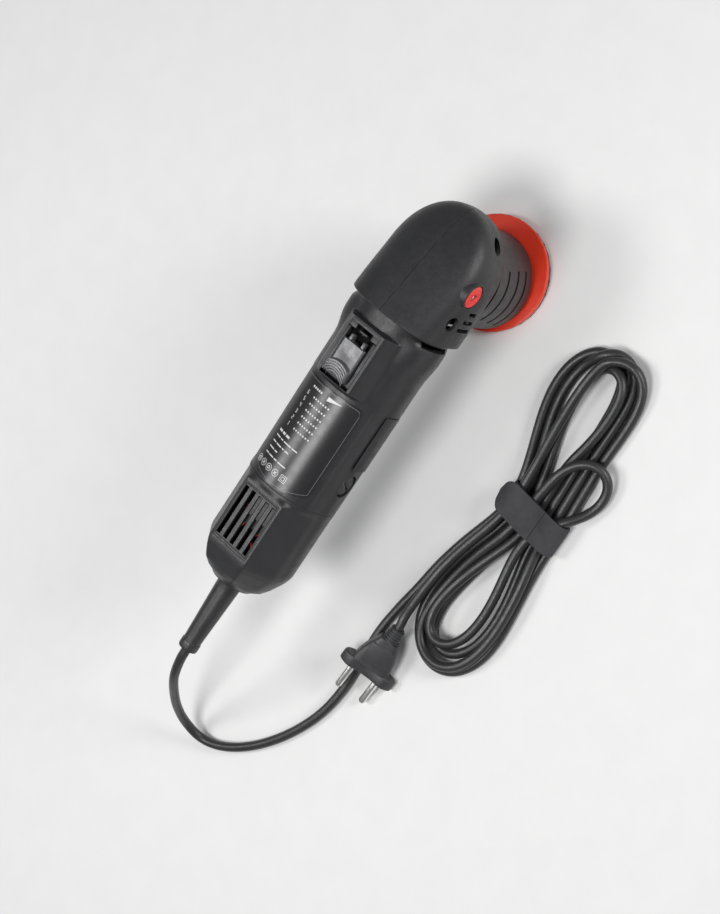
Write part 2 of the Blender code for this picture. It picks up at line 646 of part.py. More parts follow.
def motor():
    field_core()
    field_coil("field_coil_upper", 1)
    field_coil("field_coil_lower", -1)
    turned("fan_baffle", ((0.0288, -0.0565), (0.0288, -0.0585), (0.0215, -0.0585), (0.0175, -0.0565)),
           "X", (0, 0, AXIS_Z), SOFT_BLACK, steps=36)
    ball_bearing("front_armature_bearing", 0.0040, 0.0110, 0.0070, "X", (-0.0320, 0, AXIS_Z))
    ball_bearing("rear_armature_bearing", 0.0030, 0.0090, 0.0060, "X", (-0.1630, 0, AXIS_Z))
    turned("rear_bearing_sleeve", ((0.0105, -0.1600), (0.0105, -0.1679), (0.0060, -0.1679),
                                   (0.0060, -0.1663), (0.0093, -0.1663), (0.0093, -0.1600)),
           "X", (0, 0, AXIS_Z), RUBBER, steps=24)
    for side, label in ((1, "left"), (-1, "right")):
        brush_gear(side, label)
    hang(pivot("armature_axis", (0, 0, AXIS_Z)), *armature())


# ---- spindle and plate ----
def spindle_group():
    spindle = turned("drive_spindle", (
        (0.0, 0.0940), (0.0037, 0.0940), (0.0037, 0.0895), (0.0050, 0.0893), (0.0050, 0.0810),
        (0.0064, 0.0808), (0.0064, 0.0590), (0.0050, 0.0588), (0.0050, 0.0395), (0.0, 0.0395)),
        mat=STEEL_MAT, steps=16)
    weight = turned("counterweight", ((0.0110, 0.0480), (0.0110, 0.0385), (0.0053, 0.0385),
                                      (0.0053, 0.0480)), mat=ALUMINIUM, steps=16)
    cup = rod("bearing_cup", 0.0160, 0.0225, 0.0395, "Z", (ORBIT_RADIUS, 0, 0), helper=True, segments=24)
    lobe = rod("weight_lobe", 0.0270, 0.0300, 0.0430, "Z", helper=True, segments=32)
    half_plane = box("lobe_limit", (-0.0060, -0.05, 0.02), (0.05, 0.05, 0.06), helper=True)
    cut(lobe, half_plane)
    join(weight, cup, lobe)
    pocket = rod("orbit_bearing_pocket", 0.0133, 0.0150, 0.0320, "Z", (ORBIT_RADIUS, 0, 0), helper=True,
                 segments=20)
    relief = rod("pad_spindle_room", 0.0075, 0.0150, 0.0335, "Z", (ORBIT_RADIUS, 0, 0), helper=True,
                 segments=16)
    bore = rod("spindle_bore", 0.0053, 0.0370, 0.0500, "Z", helper=True, segments=16)
    cut(weight, pocket, relief, bore)
    hang(pivot("spindle_axis", (0, 0, 0.05)), spindle, crown_gear(), weight)


def plate_group():
    at = (ORBIT_RADIUS, 0, 0)
    stub = turned("pad_spindle", ((0.0, 0.0325), (0.0045, 0.0325), (0.0049, 0.0320), (0.0049, 0.0222),
                                  (0.0085, 0.0220), (0.0085, 0.0130), (0.0048, 0.0128), (0.0048, 0.0056),
                                  (0.0, 0.0056)), at=at, mat=STEEL_MAT, steps=14)
    plate = turned("backing_plate", (
        (0.0051, 0.0122), (0.0120, 0.0122), (0.0135, 0.0090), (0.0220, 0.0072), (0.0372, PLATE_RIM_TOP),
        (PLATE_R, 0.0060), (PLATE_R - 0.0008, 0.0015), (0.0, 0.0015), (0.0, 0.0052), (0.0051, 0.0052)),
        at=at, mat=RED_PLATE, steps=36)
    face = turned("hook_face", ((0.0, 0.0012), (0.0370, 0.0012), (0.0370, 0.0), (0.0, 0.0)), at=at,
                  mat=RUBBER, steps=28)
    hang(pivot("plate_axis", at), stub, plate, face)
    ball_bearing("orbit_bearing", 0.0053, 0.0130, 0.0080, "Z", (ORBIT_RADIUS, 0, 0.0275))


# ---- controls ----
def lock_group():
    """The spindle lock: a sprung red button on the head's right side, with its pin."""
    button = turned("lock_button", (
        (0.0022, 0.0352), (0.0030, 0.0356), (0.0068, 0.0356), (LOCK_BUTTON_R, 0.0348),
        (LOCK_BUTTON_R, 0.0318), (0.0062, 0.0318), (0.0062, 0.0330), (0.0022, 0.0330)),
        "Y", (0, 0, LOCK_Z), RED_BUTTON, steps=20)
    pin = turned("lock_pin", ((0.0, 0.0351), (0.0019, 0.0351), (0.0019, 0.0262), (0.0, 0.0262)),
                 "Y", (0, 0, LOCK_Z), STEEL_MAT, steps=14)
    for piece in (button, pin):
        piece.rotation_euler = (math.pi / 2, 0, 0)
    hang(pivot("lock_axis", (0, -0.035, LOCK_Z)), button, pin)
    turns, points = 3, 8
    helix = []
    for i in range(turns * points + 1):
        a = 2 * math.pi * i / points
        helix.append((0.0043 * math.cos(a), -0.0325 + 0.0054 * i / (turns * points),
                      LOCK_Z + 0.0043 * math.sin(a)))
    tube("lock_spring", helix, 0.00035, STEEL_MAT, resolution=1)


def switch_group():
    """The on-off slider in its raised socket, and the long link to the switch in the tail."""
    rings = []
    for x, half, low, high in ((-0.0615, 0.0082, 0.1105, 0.1160), (-0.0735, 0.0082, 0.1105, 0.1150),
                               (-0.0750, 0.0086, 0.1105, 0.1160), (-0.0790, 0.0088, 0.1105, 0.1186),
                               (-0.0830, 0.0086, 0.1105, 0.1180), (-0.0862, 0.0070, 0.1105, 0.1140)):
        top = [(y * half, low + (high - low) * (1 - 0.35 * abs(y) ** 2.5)) for y in
               (-1, -0.75, -0.4, 0, 0.4, 0.75, 1)]
        rings.append([(x, y, z) for y, z in top] + [(x, half, low), (x, -half, low)])
    slider = loft("switch_slider", rings, PLASTIC_GREY, caps=(True, True))
    for k in range(4):
        x = -0.0770 - 0.0022 * k
        cut(slider, box("grip_groove", (x - 0.0005, -0.01, 0.1150), (x + 0.0005, 0.01, 0.12), helper=True))
    leg = box("slider_leg", (-0.0810, -0.0030, 0.1082), (-0.0750, 0.0030, 0.1120), helper=True)
    join(slider, leg)
    link = box("switch_link", (-0.1310, -0.0025, 0.10535), (-0.0740, 0.0025, 0.10655), PLASTIC_GREY)
    upright = box("link_upright", (-0.0810, -0.0020, 0.1060), (-0.0750, 0.0020, 0.1079), helper=True)
    step = box("link_step", (-0.1310, -0.0025, 0.1030), (-0.1290, 0.0025, 0.1060), helper=True)
    tail = box("link_tail", (-0.1896, -0.0025, 0.1030), (-0.1295, 0.0025, 0.1043), helper=True)
    join(link, upright, step, tail)
    hang(pivot("switch_axis", (-0.075, 0, 0.112)), slider, link)
    box("switch_body", (-0.1980, -0.0135, 0.0880), (-0.1900, 0.0040, 0.1040), PLASTIC_GREY, bevel=0.0006)


def dial_group():
    dial = turned("speed_dial", ((DIAL_R - 0.0006, 0.0020), (DIAL_R, 0.0014), (DIAL_R, -0.0014),
                                 (DIAL_R - 0.0006, -0.0020), (0.0018, -0.0020), (0.0018, 0.0020)),
                  at=DIAL_CENTRE, mat=SOFT_BLACK, steps=24)
    hang(pivot("dial_axis", DIAL_CENTRE), dial)
    module = box("speed_module", (-0.2140, 0.0060, 0.0640), (-0.1960, 0.0220, 0.0750), PLASTIC_GREY,
                 bevel=0.0006)
    post = rod("dial_post", 0.0014, 0.0700, 0.0835, "Z", (DIAL_CENTRE[0], DIAL_CENTRE[1], 0), helper=True,
               segments=12)
    arm = box("post_arm", (-0.2090, 0.0200, 0.0700), (-0.2010, 0.0252, 0.0750), helper=True)
    join(module, arm, post)


# ---- trim ----
def wrapped_plate(name, x_ends, angles, radius, thickness, mat, steps=14):
    """A thin curved plate that lies on the round of the handle. Angles are from +Z towards -Y."""
    bm = bmesh.new()
    rows = []
    for i in range(steps + 1):
        a = math.radians(angles[0] + (angles[1] - angles[0]) * i / steps)
        rows.append([bm.verts.new((x, -r * math.sin(a), AXIS_Z + r * math.cos(a)))
                     for x, r in ((x_ends[0], radius), (x_ends[1], radius),
                                  (x_ends[1], radius + thickness), (x_ends[0], radius + thickness))])
    for a, b in zip(rows, rows[1:]):
        for i in range(4):
            j = (i + 1) % 4
            bm.faces.new((a[i], a[j], b[j], b[i]))
    bm.faces.new(rows[0][::-1])
    bm.faces.new(rows[-1])
    return put(name, finish_mesh(bm, name), mat)


def trim():
    skin = HANDLE_R + GAP
    wrapped_plate("rating_label", (-0.1620, -0.0950), (-46, 46), skin, 0.0004, SOFT_BLACK)
    wrapped_plate("side_panel_right", (-0.1320, -0.0920), (76, 104), skin, 0.0005, SOFT_BLACK, steps=6)


def screw(name, head_r, shank_r, head, length, axis, at, turn_back=False):
    profile = ((0.0, 0.0), (head_r * 0.8, 0.0), (head_r, -head * 0.4), (head_r, -head), (shank_r, -head),
               (shank_r, -head - length), (0.0, -head - length))
    piece = turned(name, profile, axis, at, STEEL_MAT, steps=14)
    if turn_back:
        piece.rotation_euler = (math.pi / 2, 0, 0)
    recess = box("screw_recess", (-0.0004, -head_r * 0.6, -head * 0.5), (0.0004, head_r * 0.6, 0.002),
                 helper=True)
    recess.rotation_euler = piece.rotation_euler
    recess.location = at
    cut(piece, recess)
    return piece


def fasteners():
    screw("head_screw_front", 0.0034, 0.0015, 0.0022, 0.0090, "Y", (0.0307, -0.0110, 0.0742), True)
    screw("head_screw_rear", 0.0038, 0.0015, 0.0024, 0.0020, "Y", (-0.0203, -0.0292, 0.0905), True)
    for k, (x, y) in enumerate(screw_places(), 1):
        piece = screw(f"gear_screw_{k}", 0.0030, 0.0017, 0.0022, 0.0135, "Z", (x, y, 0.0520))
        piece.rotation_euler = (math.pi, 0, 0)


# ---- cord ----
def strain_relief():
    return turned("strain_relief", (
        (0.0100, -0.2358), (0.0100, -0.2388), (0.0083, -0.2390), (0.0083, -0.2419), (0.0088, -0.2425),
        (0.0082, -0.2460), (0.0062, -0.2900), (0.0062, -0.2915), (0.0066, -0.2920), (0.0066, -0.2965),
        (0.0060, RELIEF_END), (CORD_R + 2 * GAP, RELIEF_END), (CORD_R + GAP, -0.2900),
        (CORD_R + GAP, -0.2358)),
        "X", (0, 0, AXIS_Z), RUBBER, steps=14)


def cord_clamp():
    bar = box("cord_clamp", (-0.2335, -0.0075, 0.0700), (-0.2275, 0.0075, 0.0860), PLASTIC_GREY,
              bevel=0.0006)
    cut(bar, rod("clamp_way", CORD_R + GAP, -0.240, -0.220, "X", (0, 0, AXIS_Z), helper=True,
                 segments=16))


def cord_hank():
    bm = bmesh.new()
    low = [bm.verts.new((x, y, 0.0002)) for x, y in HANK_OUTLINE]
    top = [bm.verts.new((x, y, 0.0129)) for x, y in HANK_OUTLINE]
    bm.faces.new(low[::-1])
    bm.faces.new(top)
    for i in range(len(low)):
        j = (i + 1) % len(low)
        bm.faces.new((low[i], low[j], top[j], top[i]))
    hank = put("cord_hank", finish_mesh(bm, "cord_hank", smooth=False), RUBBER)
    cut(hank, box("tie_way", (TIE_X - 0.0140, -0.16, -0.01), (TIE_X + 0.0140, -0.07, 0.0022), helper=True))


def cord_tie():
    tie = box("cord_tie", (TIE_X - 0.0120, TIE_Y - 0.0245, 0.0002), (TIE_X + 0.0120, TIE_Y + 0.0245, 0.0163),
              SOFT_BLACK, bevel=0.0015)
    cut(tie, box("tie_inside", (TIE_X - 0.02, TIE_Y - 0.0228, 0.0019),
                 (TIE_X + 0.02, TIE_Y + 0.0228, 0.0146), helper=True))


def plug():
    """A two-pin plug that lies across the lead, one edge on the surface. Its own X runs along the pins."""
    frame = pivot("plug_frame", (-0.2540, -0.0845, 0.0105))
    turn = Matrix.Rotation(math.radians(175), 3, "Z") @ Matrix.Rotation(math.radians(5), 3, "Y")
    frame.rotation_euler = turn.to_euler()
    roll = Matrix.Rotation(math.radians(-25), 4, "X")
    stations = ((0.0, 0.0178, 0.0064), (-0.0080, 0.0184, 0.0066), (-0.0085, 0.0140, 0.0062),
                (-0.0200, 0.0115, 0.0060), (-0.0300, 0.0075, 0.0056), (-0.0340, 0.0055, 0.0052),
                (-0.0400, 0.0050, 0.0050))
    rings = []
    for x, half, thick in stations:
        ring = []
        for i in range(16):
            a = 2 * math.pi * (i + 0.5) / 16
            y = math.copysign(abs(math.cos(a)) ** 0.7, math.cos(a)) * half
            z = math.copysign(abs(math.sin(a)) ** 0.7, math.sin(a)) * thick
            ring.append(roll @ Vector((x, y, z)))
        rings.append(ring)
    body = loft("plug_body", rings, RUBBER, caps=(True, True))
    pieces = [body]
    for label, y in (("left", -PLUG_PIN_SPACING / 2), ("right", PLUG_PIN_SPACING / 2)):
        way = rod("pin_way", 0.0027, -0.0060, 0.0100, "X", roll @ Vector((0, y, 0)), helper=True,
                  segments=16)
        cut(body, way)
        pin = turned(f"plug_pin_{label}", ((0.0, 0.0190), (0.0014, 0.0188), (0.0024, 0.0172),
                                           (0.0024, -0.0056), (0.0, -0.0056)),
                     "X", roll @ Vector((0, y, 0)), STEEL_MAT, steps=16)
        pieces += [pin, way]
    cord_way = rod("plug_cord_way", CORD_R + GAP, -0.0500, -0.0360, "X", (0, 0, 0), helper=True,
                   segments=16)
    cut(body, cord_way)
    for piece in pieces + [cord_way]:
        piece.parent = frame


def cord_set():
    strain_relief()
    cord_clamp()
    tube("power_cord", smooth_path(LEAD_ROUTE, 0.0150), CORD_R, RUBBER)
    tube("cord_side_loop", smooth_path(LOOP_ROUTE, 0.0120), CORD_R, RUBBER)
    tube("plug_lead", smooth_path(PLUG_LEAD_ROUTE, 0.0120), CORD_R, RUBBER)
    cord_hank()
    cord_tie()
    plug()


def main():
    motor_housing()
    rear_cover()
    head_half("head_cover_left", 1)
    head_half("head_cover_right", -1)
    gear_housing()
    bearing_plate()
    shroud()
    ball_bearing("upper_spindle_bearing", 0.0040, 0.0080, 0.0036, "Z", (0, 0, 0.0923))
    ball_bearing("lower_spindle_bearing", 0.0053, 0.0130, 0.0085, "Z", (0, 0, 0.0539))
    motor()
    spindle_group()
    plate_group()
    lock_group()
    switch_group()
    dial_group()
    trim()
    fasteners()
    cord_set()


main()
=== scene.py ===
"""The look of the dual action polisher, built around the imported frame.

Metres and, where mm() is used, millimetres. X runs along the handle towards the head, Z is up.
"""
import json
from math import asin, copysign, cos, degrees, exp, hypot, pi, radians, sin, sqrt

import bmesh
import bpy
import numpy as np
from mathutils import Matrix, Vector


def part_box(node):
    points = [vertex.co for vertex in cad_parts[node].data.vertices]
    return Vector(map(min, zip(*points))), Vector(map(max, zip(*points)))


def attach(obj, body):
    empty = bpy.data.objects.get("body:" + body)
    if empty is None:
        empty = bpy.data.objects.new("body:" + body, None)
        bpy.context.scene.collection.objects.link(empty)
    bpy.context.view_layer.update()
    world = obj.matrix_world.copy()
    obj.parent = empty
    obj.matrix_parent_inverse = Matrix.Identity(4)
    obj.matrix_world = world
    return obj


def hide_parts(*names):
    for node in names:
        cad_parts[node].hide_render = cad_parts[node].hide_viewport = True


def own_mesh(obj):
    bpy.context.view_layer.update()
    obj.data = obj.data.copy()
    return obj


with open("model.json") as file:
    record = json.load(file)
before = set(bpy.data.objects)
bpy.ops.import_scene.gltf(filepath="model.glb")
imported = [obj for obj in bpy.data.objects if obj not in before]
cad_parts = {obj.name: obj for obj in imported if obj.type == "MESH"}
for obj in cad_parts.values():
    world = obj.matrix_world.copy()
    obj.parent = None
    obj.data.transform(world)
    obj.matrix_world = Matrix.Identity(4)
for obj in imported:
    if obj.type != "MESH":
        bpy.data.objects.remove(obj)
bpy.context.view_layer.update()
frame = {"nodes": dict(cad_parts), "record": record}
NODES = frame["nodes"]

# ---- camera: the photograph's viewing angle ----
CAMERA_AZIMUTH, CAMERA_ELEVATION, CAMERA_ROLL = 32.95, 61.22, -85.92
CAMERA_TARGET = Vector((-0.1297, -0.0186, 0.06))
CAMERA_DISTANCE = 1.356
CAMERA_LENS = 85.0


def link(obj):
    bpy.context.scene.collection.objects.link(obj)
    return obj


def place_camera():
    azimuth, elevation, roll = (radians(a) for a in (CAMERA_AZIMUTH, CAMERA_ELEVATION, CAMERA_ROLL))
    back = Vector((cos(elevation) * sin(azimuth), -cos(elevation) * cos(azimuth),
                   sin(elevation)))
    level = Vector((cos(azimuth), sin(azimuth), 0.0))
    above = back.cross(level)
    right = cos(roll) * level + sin(roll) * above
    up = -sin(roll) * level + cos(roll) * above
    data = bpy.data.cameras.new("view")
    data.lens, data.sensor_width = CAMERA_LENS, 36.0
    data.clip_start = 0.02
    camera = link(bpy.data.objects.new("view", data))
    turn = Matrix((right, up, back)).transposed()
    camera.matrix_world = Matrix.Translation(CAMERA_TARGET + CAMERA_DISTANCE * back) @ turn.to_4x4()
    bpy.context.scene.camera = camera


# ---- finishes ----
def node(tree, kind, **values):
    made = tree.nodes.new(kind)
    for name, value in values.items():
        if name in made.inputs:
            made.inputs[name].default_value = value
        else:
            setattr(made, name, value)
    return made


def remap(tree, value, low, high, start=0.35, end=0.65):
    made = node(tree, "ShaderNodeMapRange",
                **{"From Min": start, "From Max": end, "To Min": low, "To Max": high})
    tree.links.new(value, made.inputs["Value"])
    return made.outputs["Result"]


def blend_colour(tree, share, first, second):
    made = tree.nodes.new("ShaderNodeMix")
    made.data_type = "RGBA"
    tree.links.new(share, made.inputs["Factor"])
    for socket, value in ((made.inputs[6], first), (made.inputs[7], second)):
        if isinstance(value, tuple):
            socket.default_value = (*value, 1.0)
        else:
            tree.links.new(value, socket)
    return made.outputs[2]


def noise(tree, place, scale, detail=3.0, roughness=0.55):
    made = node(tree, "ShaderNodeTexNoise", Scale=scale, Detail=detail, Roughness=roughness)
    tree.links.new(place, made.inputs["Vector"])
    return made.outputs["Fac"]


def finish(name, colour, rough, metallic=0.0, tone=0.12, rough_spread=0.06, grain=0.0, grain_size=0.0004,
           edge=0.0003, wear=0.0, wear_colour=None, coat=0.0, specular=0.5, brushed=None, weave=0.0):
    """A drifting colour and roughness, rounded and slightly worn edges, and a moulded grain."""
    mat = bpy.data.materials.new(name)
    mat.use_nodes = True
    tree = mat.node_tree
    shader = tree.nodes["Principled BSDF"]
    shader.inputs["Metallic"].default_value = metallic
    shader.inputs["Specular IOR Level"].default_value = specular
    shader.inputs["Coat Weight"].default_value = coat
    shader.inputs["Coat Roughness"].default_value = 0.12
    place = tree.nodes.new("ShaderNodeTexCoord").outputs["Object"]
    drift = noise(tree, place, 42.0)
    patch = noise(tree, place, 260.0, 4.0)
    dark = tuple(c * (1 - tone) for c in colour)
    light = tuple(min(1.0, c * (1 + tone)) for c in colour)
    base = blend_colour(tree, remap(tree, drift, 0.0, 1.0), dark, light)
    rounded = None
    if edge:
        bevel = node(tree, "ShaderNodeBevel", Radius=edge, samples=4)
        rounded = bevel.outputs["Normal"]
    if wear and edge:
        wide = node(tree, "ShaderNodeBevel", Radius=edge * 2.4, samples=4)
        geometry = tree.nodes.new("ShaderNodeNewGeometry")
        dot = node(tree, "ShaderNodeVectorMath", operation="DOT_PRODUCT")
        tree.links.new(wide.outputs["Normal"], dot.inputs[0])
        tree.links.new(geometry.outputs["Normal"], dot.inputs[1])
        rub = node(tree, "ShaderNodeMath", operation="MULTIPLY")
        tree.links.new(remap(tree, dot.outputs["Value"], 1.0, 0.0, 0.8, 0.99), rub.inputs[0])
        tree.links.new(remap(tree, patch, 0.0, wear, 0.4, 0.62), rub.inputs[1])
        paler = wear_colour or tuple(min(1.0, c * 2.6 + 0.03) for c in colour)
        base = blend_colour(tree, rub.outputs[0], base, paler)
    tree.links.new(base, shader.inputs["Base Color"])
    spread = patch
    if brushed:
        stretched = node(tree, "ShaderNodeMapping")
        stretched.inputs["Scale"].default_value = brushed
        tree.links.new(place, stretched.inputs["Vector"])
        spread = noise(tree, stretched.outputs["Vector"], 900.0, 2.0)
    tree.links.new(remap(tree, spread, rough - rough_spread, rough + rough_spread),
                   shader.inputs["Roughness"])
    height = None
    if grain:
        height = noise(tree, place, 1.0 / grain_size, 2.0, 0.6)
    if weave:
        wave = node(tree, "ShaderNodeTexWave", Scale=1.0 / grain_size, Distortion=1.5, Detail=2.0)
        wave.bands_direction = "DIAGONAL"
        tree.links.new(place, wave.inputs["Vector"])
        height = wave.outputs["Fac"]
    if height is not None:
        bump = node(tree, "ShaderNodeBump", Strength=max(grain, weave), Distance=grain_size * 0.5)
        tree.links.new(height, bump.inputs["Height"])
        if rounded is not None:
            tree.links.new(rounded, bump.inputs["Normal"])
        tree.links.new(bump.outputs["Normal"], shader.inputs["Normal"])
    elif rounded is not None:
        tree.links.new(rounded, shader.inputs["Normal"])
    return mat


HOUSING = finish("housing_plastic", (0.022, 0.022, 0.0235), 0.4, grain=0.35, grain_size=0.00045, wear=0.35,
                 edge=0.0005)
COVER = finish("cover_plastic", (0.02, 0.02, 0.0215), 0.44, grain=0.45, grain_size=0.0005, wear=0.3,
               edge=0.0005)
LABEL = finish("label_film", (0.017, 0.017, 0.018), 0.3, tone=0.1, rough_spread=0.02, edge=0)
PRINT = finish("label_print", (0.62, 0.62, 0.61), 0.45, tone=0.08, edge=0)
LINE = finish("label_line", (0.17, 0.17, 0.175), 0.4, tone=0.08, edge=0)
STEEL = finish("steel", (0.56, 0.57, 0.59), 0.27, metallic=1.0, rough_spread=0.08, brushed=(0.05, 1, 1),
               edge=0.0002)
BEARING = finish("bearing_steel", (0.62, 0.63, 0.65), 0.18, metallic=1.0, rough_spread=0.05, edge=0.0002)
ALUMINIUM = finish("cast_aluminium", (0.55, 0.55, 0.56), 0.5, metallic=1.0, grain=0.5, grain_size=0.0007)
COPPER = finish("copper_wire", (0.62, 0.26, 0.12), 0.34, metallic=1.0, weave=0.8, grain_size=0.006)
BRASS = finish("brass", (0.7, 0.5, 0.22), 0.3, metallic=1.0, brushed=(1, 0.1, 1))
RED = finish("plate_red", (0.78, 0.04, 0.012), 0.34, tone=0.05, grain=0.12, grain_size=0.0012, wear=0.25,
             wear_colour=(0.95, 0.22, 0.14), edge=0.0006, coat=0.12)
BUTTON = finish("button_red", (0.8, 0.05, 0.04), 0.38, tone=0.06, wear=0.3, wear_colour=(0.95, 0.35, 0.3))
HOOK = finish("hook_black", (0.03, 0.03, 0.03), 0.85, grain=1.0, grain_size=0.001)
CARBON = finish("carbon", (0.03, 0.03, 0.032), 0.6, grain=0.3)
INNER = finish("inner_grey", (0.045, 0.045, 0.047), 0.6, grain=0.2)
# painted shade: a near-black, dull colour that reflects almost nothing, for hollows that lie in shade
SHADE_BLACK = finish("painted_shade_black", (0.008, 0.008, 0.008), 0.95, grain=0.4, specular=0.1)
# painted shade: steel darkened for parts that sit in wells and behind vents
SHADE_STEEL = finish("painted_shade_steel", (0.1, 0.1, 0.105), 0.38, metallic=1.0, edge=0.0002)
# painted highlight: a light grey for the slider's ridges, standing in for the light their crests catch
RIDGE = finish("ridge_painted_highlight", (0.34, 0.34, 0.35), 0.35, tone=0.1, edge=0)
SLIDER = finish("slider_grey", (0.085, 0.085, 0.09), 0.3, tone=0.08, grain=0.08, wear=0.6, coat=0.12,
                wear_colour=(0.42, 0.42, 0.43))
CORD = finish("cord_rubber", (0.026, 0.026, 0.027), 0.36, tone=0.1, grain=0.3, grain_size=0.0008, edge=0)
TIE = finish("tie_fabric", (0.05, 0.05, 0.053), 0.9, tone=0.22, grain=1.0, grain_size=0.0009, edge=0,
             specular=0.3)
PLUG = finish("plug_rubber", (0.034, 0.034, 0.036), 0.45, grain=0.4, grain_size=0.0006, wear=0.3, edge=0.0005)
PIN = finish("pin_metal", (0.78, 0.77, 0.74), 0.2, metallic=1.0, brushed=(0.05, 1, 1))
WIRE_RED = finish("wire_red", (0.55, 0.03, 0.03), 0.4, tone=0.1, edge=0)
SLOT_FINISH = {
    "housing_black": HOUSING, "cover_black": COVER, "label_black": LABEL, "steel": STEEL,
    "bearing_steel": BEARING, "cast_aluminium": ALUMINIUM, "copper": COPPER, "brass": BRASS,
    "plate_red": RED, "button_red": BUTTON, "hook_black": HOOK, "carbon": CARBON, "inner_grey": INNER,
    "slider_grey": SLIDER, "cord_black": CORD, "tie_black": TIE, "plug_black": PLUG, "pin_metal": PIN,
}
FINISH_OF_NODE = {row["node"]: SLOT_FINISH[row["material_slot"]] for row in frame["record"]["subparts"]}
# painted shade: the screws in the wells and the parts seen through the vents get a dark steel colour, as the
# photograph's wells and vents show no bright metal
for dark_node in ("head_screw_front", "head_screw_rear", "bearing_plate", "gear_housing"):
    FINISH_OF_NODE[dark_node] = SHADE_STEEL


SHARP_ANGLE = radians(32)


def dress_frame():
    """The CAD nodes keep their shapes. Their seams are welded, and each takes its slot's finish."""
    for name, obj in NODES.items():
        obj.data.materials.clear()
        obj.data.materials.append(FINISH_OF_NODE[name])
        for face in obj.data.polygons:
            face.use_smooth = True
        weld = obj.modifiers.new("weld", "WELD")
        weld.merge_threshold = 0.000002
        shade = obj.modifiers.new("shade", "WEIGHTED_NORMAL")
        shade.keep_sharp = True
        obj.data.set_sharp_from_angle(angle=SHARP_ANGLE)


# ---- shared builders ----
def piece(name, mesh, mat, replaces=(), body="housing"):
    obj = link(bpy.data.objects.new(name, mesh))
    mesh.materials.clear()
    mesh.materials.append(mat)
    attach(obj, body)
    if replaces:
        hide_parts(*replaces)
    return obj


def loft(bm, rings, closed=False):
    """Joins rings of equally many points into a skin, with a cap at each end unless it is closed."""
    rows = [[bm.verts.new(p) for p in ring] for ring in rings]
    count = len(rows[0])
    for i in range(len(rows) if closed else len(rows) - 1):
        a, b = rows[i], rows[(i + 1) % len(rows)]
        for j in range(count):
            k = (j + 1) % count
            bm.faces.new((a[j], a[k], b[k], b[j]))
    if not closed:
        bm.faces.new(rows[0])
        bm.faces.new(rows[-1])


def flank(side, near, far):
    """Two distances from the middle plane as a low and a high Y, on the side that is 1 or -1."""
    return sorted((side * near, side * far))


def signed_power(value, power):
    return copysign(abs(value) ** power, value)


def rise(value, low, high):
    """A smooth step from 0 at low to 1 at high."""
    share = min(1.0, max(0.0, (value - low) / (high - low)))
    return share * share * (3 - 2 * share)


def spaced(start, end, count):
    return [start + (end - start) * i / count for i in range(count + 1)]


def even(points, spacing):
    """Points this far apart along a smooth curve through the given ones."""
    k = np.array(points, float)
    k = np.vstack([2 * k[0] - k[1], k, 2 * k[-1] - k[-2]])
    share = np.linspace(0, 1, 24, endpoint=False)[:, None]
    parts = []
    for i in range(1, len(k) - 2):
        a, b, c, d = k[i - 1:i + 3]
        parts.append(0.5 * (2 * b + (c - a) * share + (2 * a - 5 * b + 4 * c - d) * share ** 2
                            + (3 * b - 3 * c + d - a) * share ** 3))
    fine = np.vstack(parts + [k[-2:-1]])
    run = np.concatenate([[0], np.cumsum(np.linalg.norm(np.diff(fine, axis=0), axis=1))])
    at = np.linspace(0, run[-1], int(round(run[-1] / spacing)) + 1)
    return np.stack([np.interp(at, run, fine[:, j]) for j in range(3)], axis=1)


def line_curve(name, path, radius, resolution):
    """A round line through every point of the path."""
    curve = bpy.data.curves.new(name, "CURVE")
    curve.dimensions, curve.use_fill_caps = "3D", True
    curve.bevel_depth, curve.bevel_resolution = radius, resolution
    spline = curve.splines.new("POLY")
    spline.points.add(len(path) - 1)
    for point, at in zip(spline.points, path):
        point.co = (*at, 1.0)
    return curve


# ---- the cord ----
CORD_R = 0.0032
CORD_GAP = 0.00655  # least distance between two strands' centre lines
CORD_REST = 0.0034  # least height of a centre line above the floor
TIE_X, TIE_Y = -0.102, -0.118


def mm(*points):
    """Points given in millimetres. One without a height is a strand on the floor."""
    return [(p[0] / 1000, p[1] / 1000, (p[2] if len(p) > 2 else 1000 * CORD_REST) / 1000) for p in points]


def through(y, z):
    """A strand's passage through the tie, towards the head, at this Y and Z in millimetres."""
    return mm((-110, y, z), (-94, y, z))


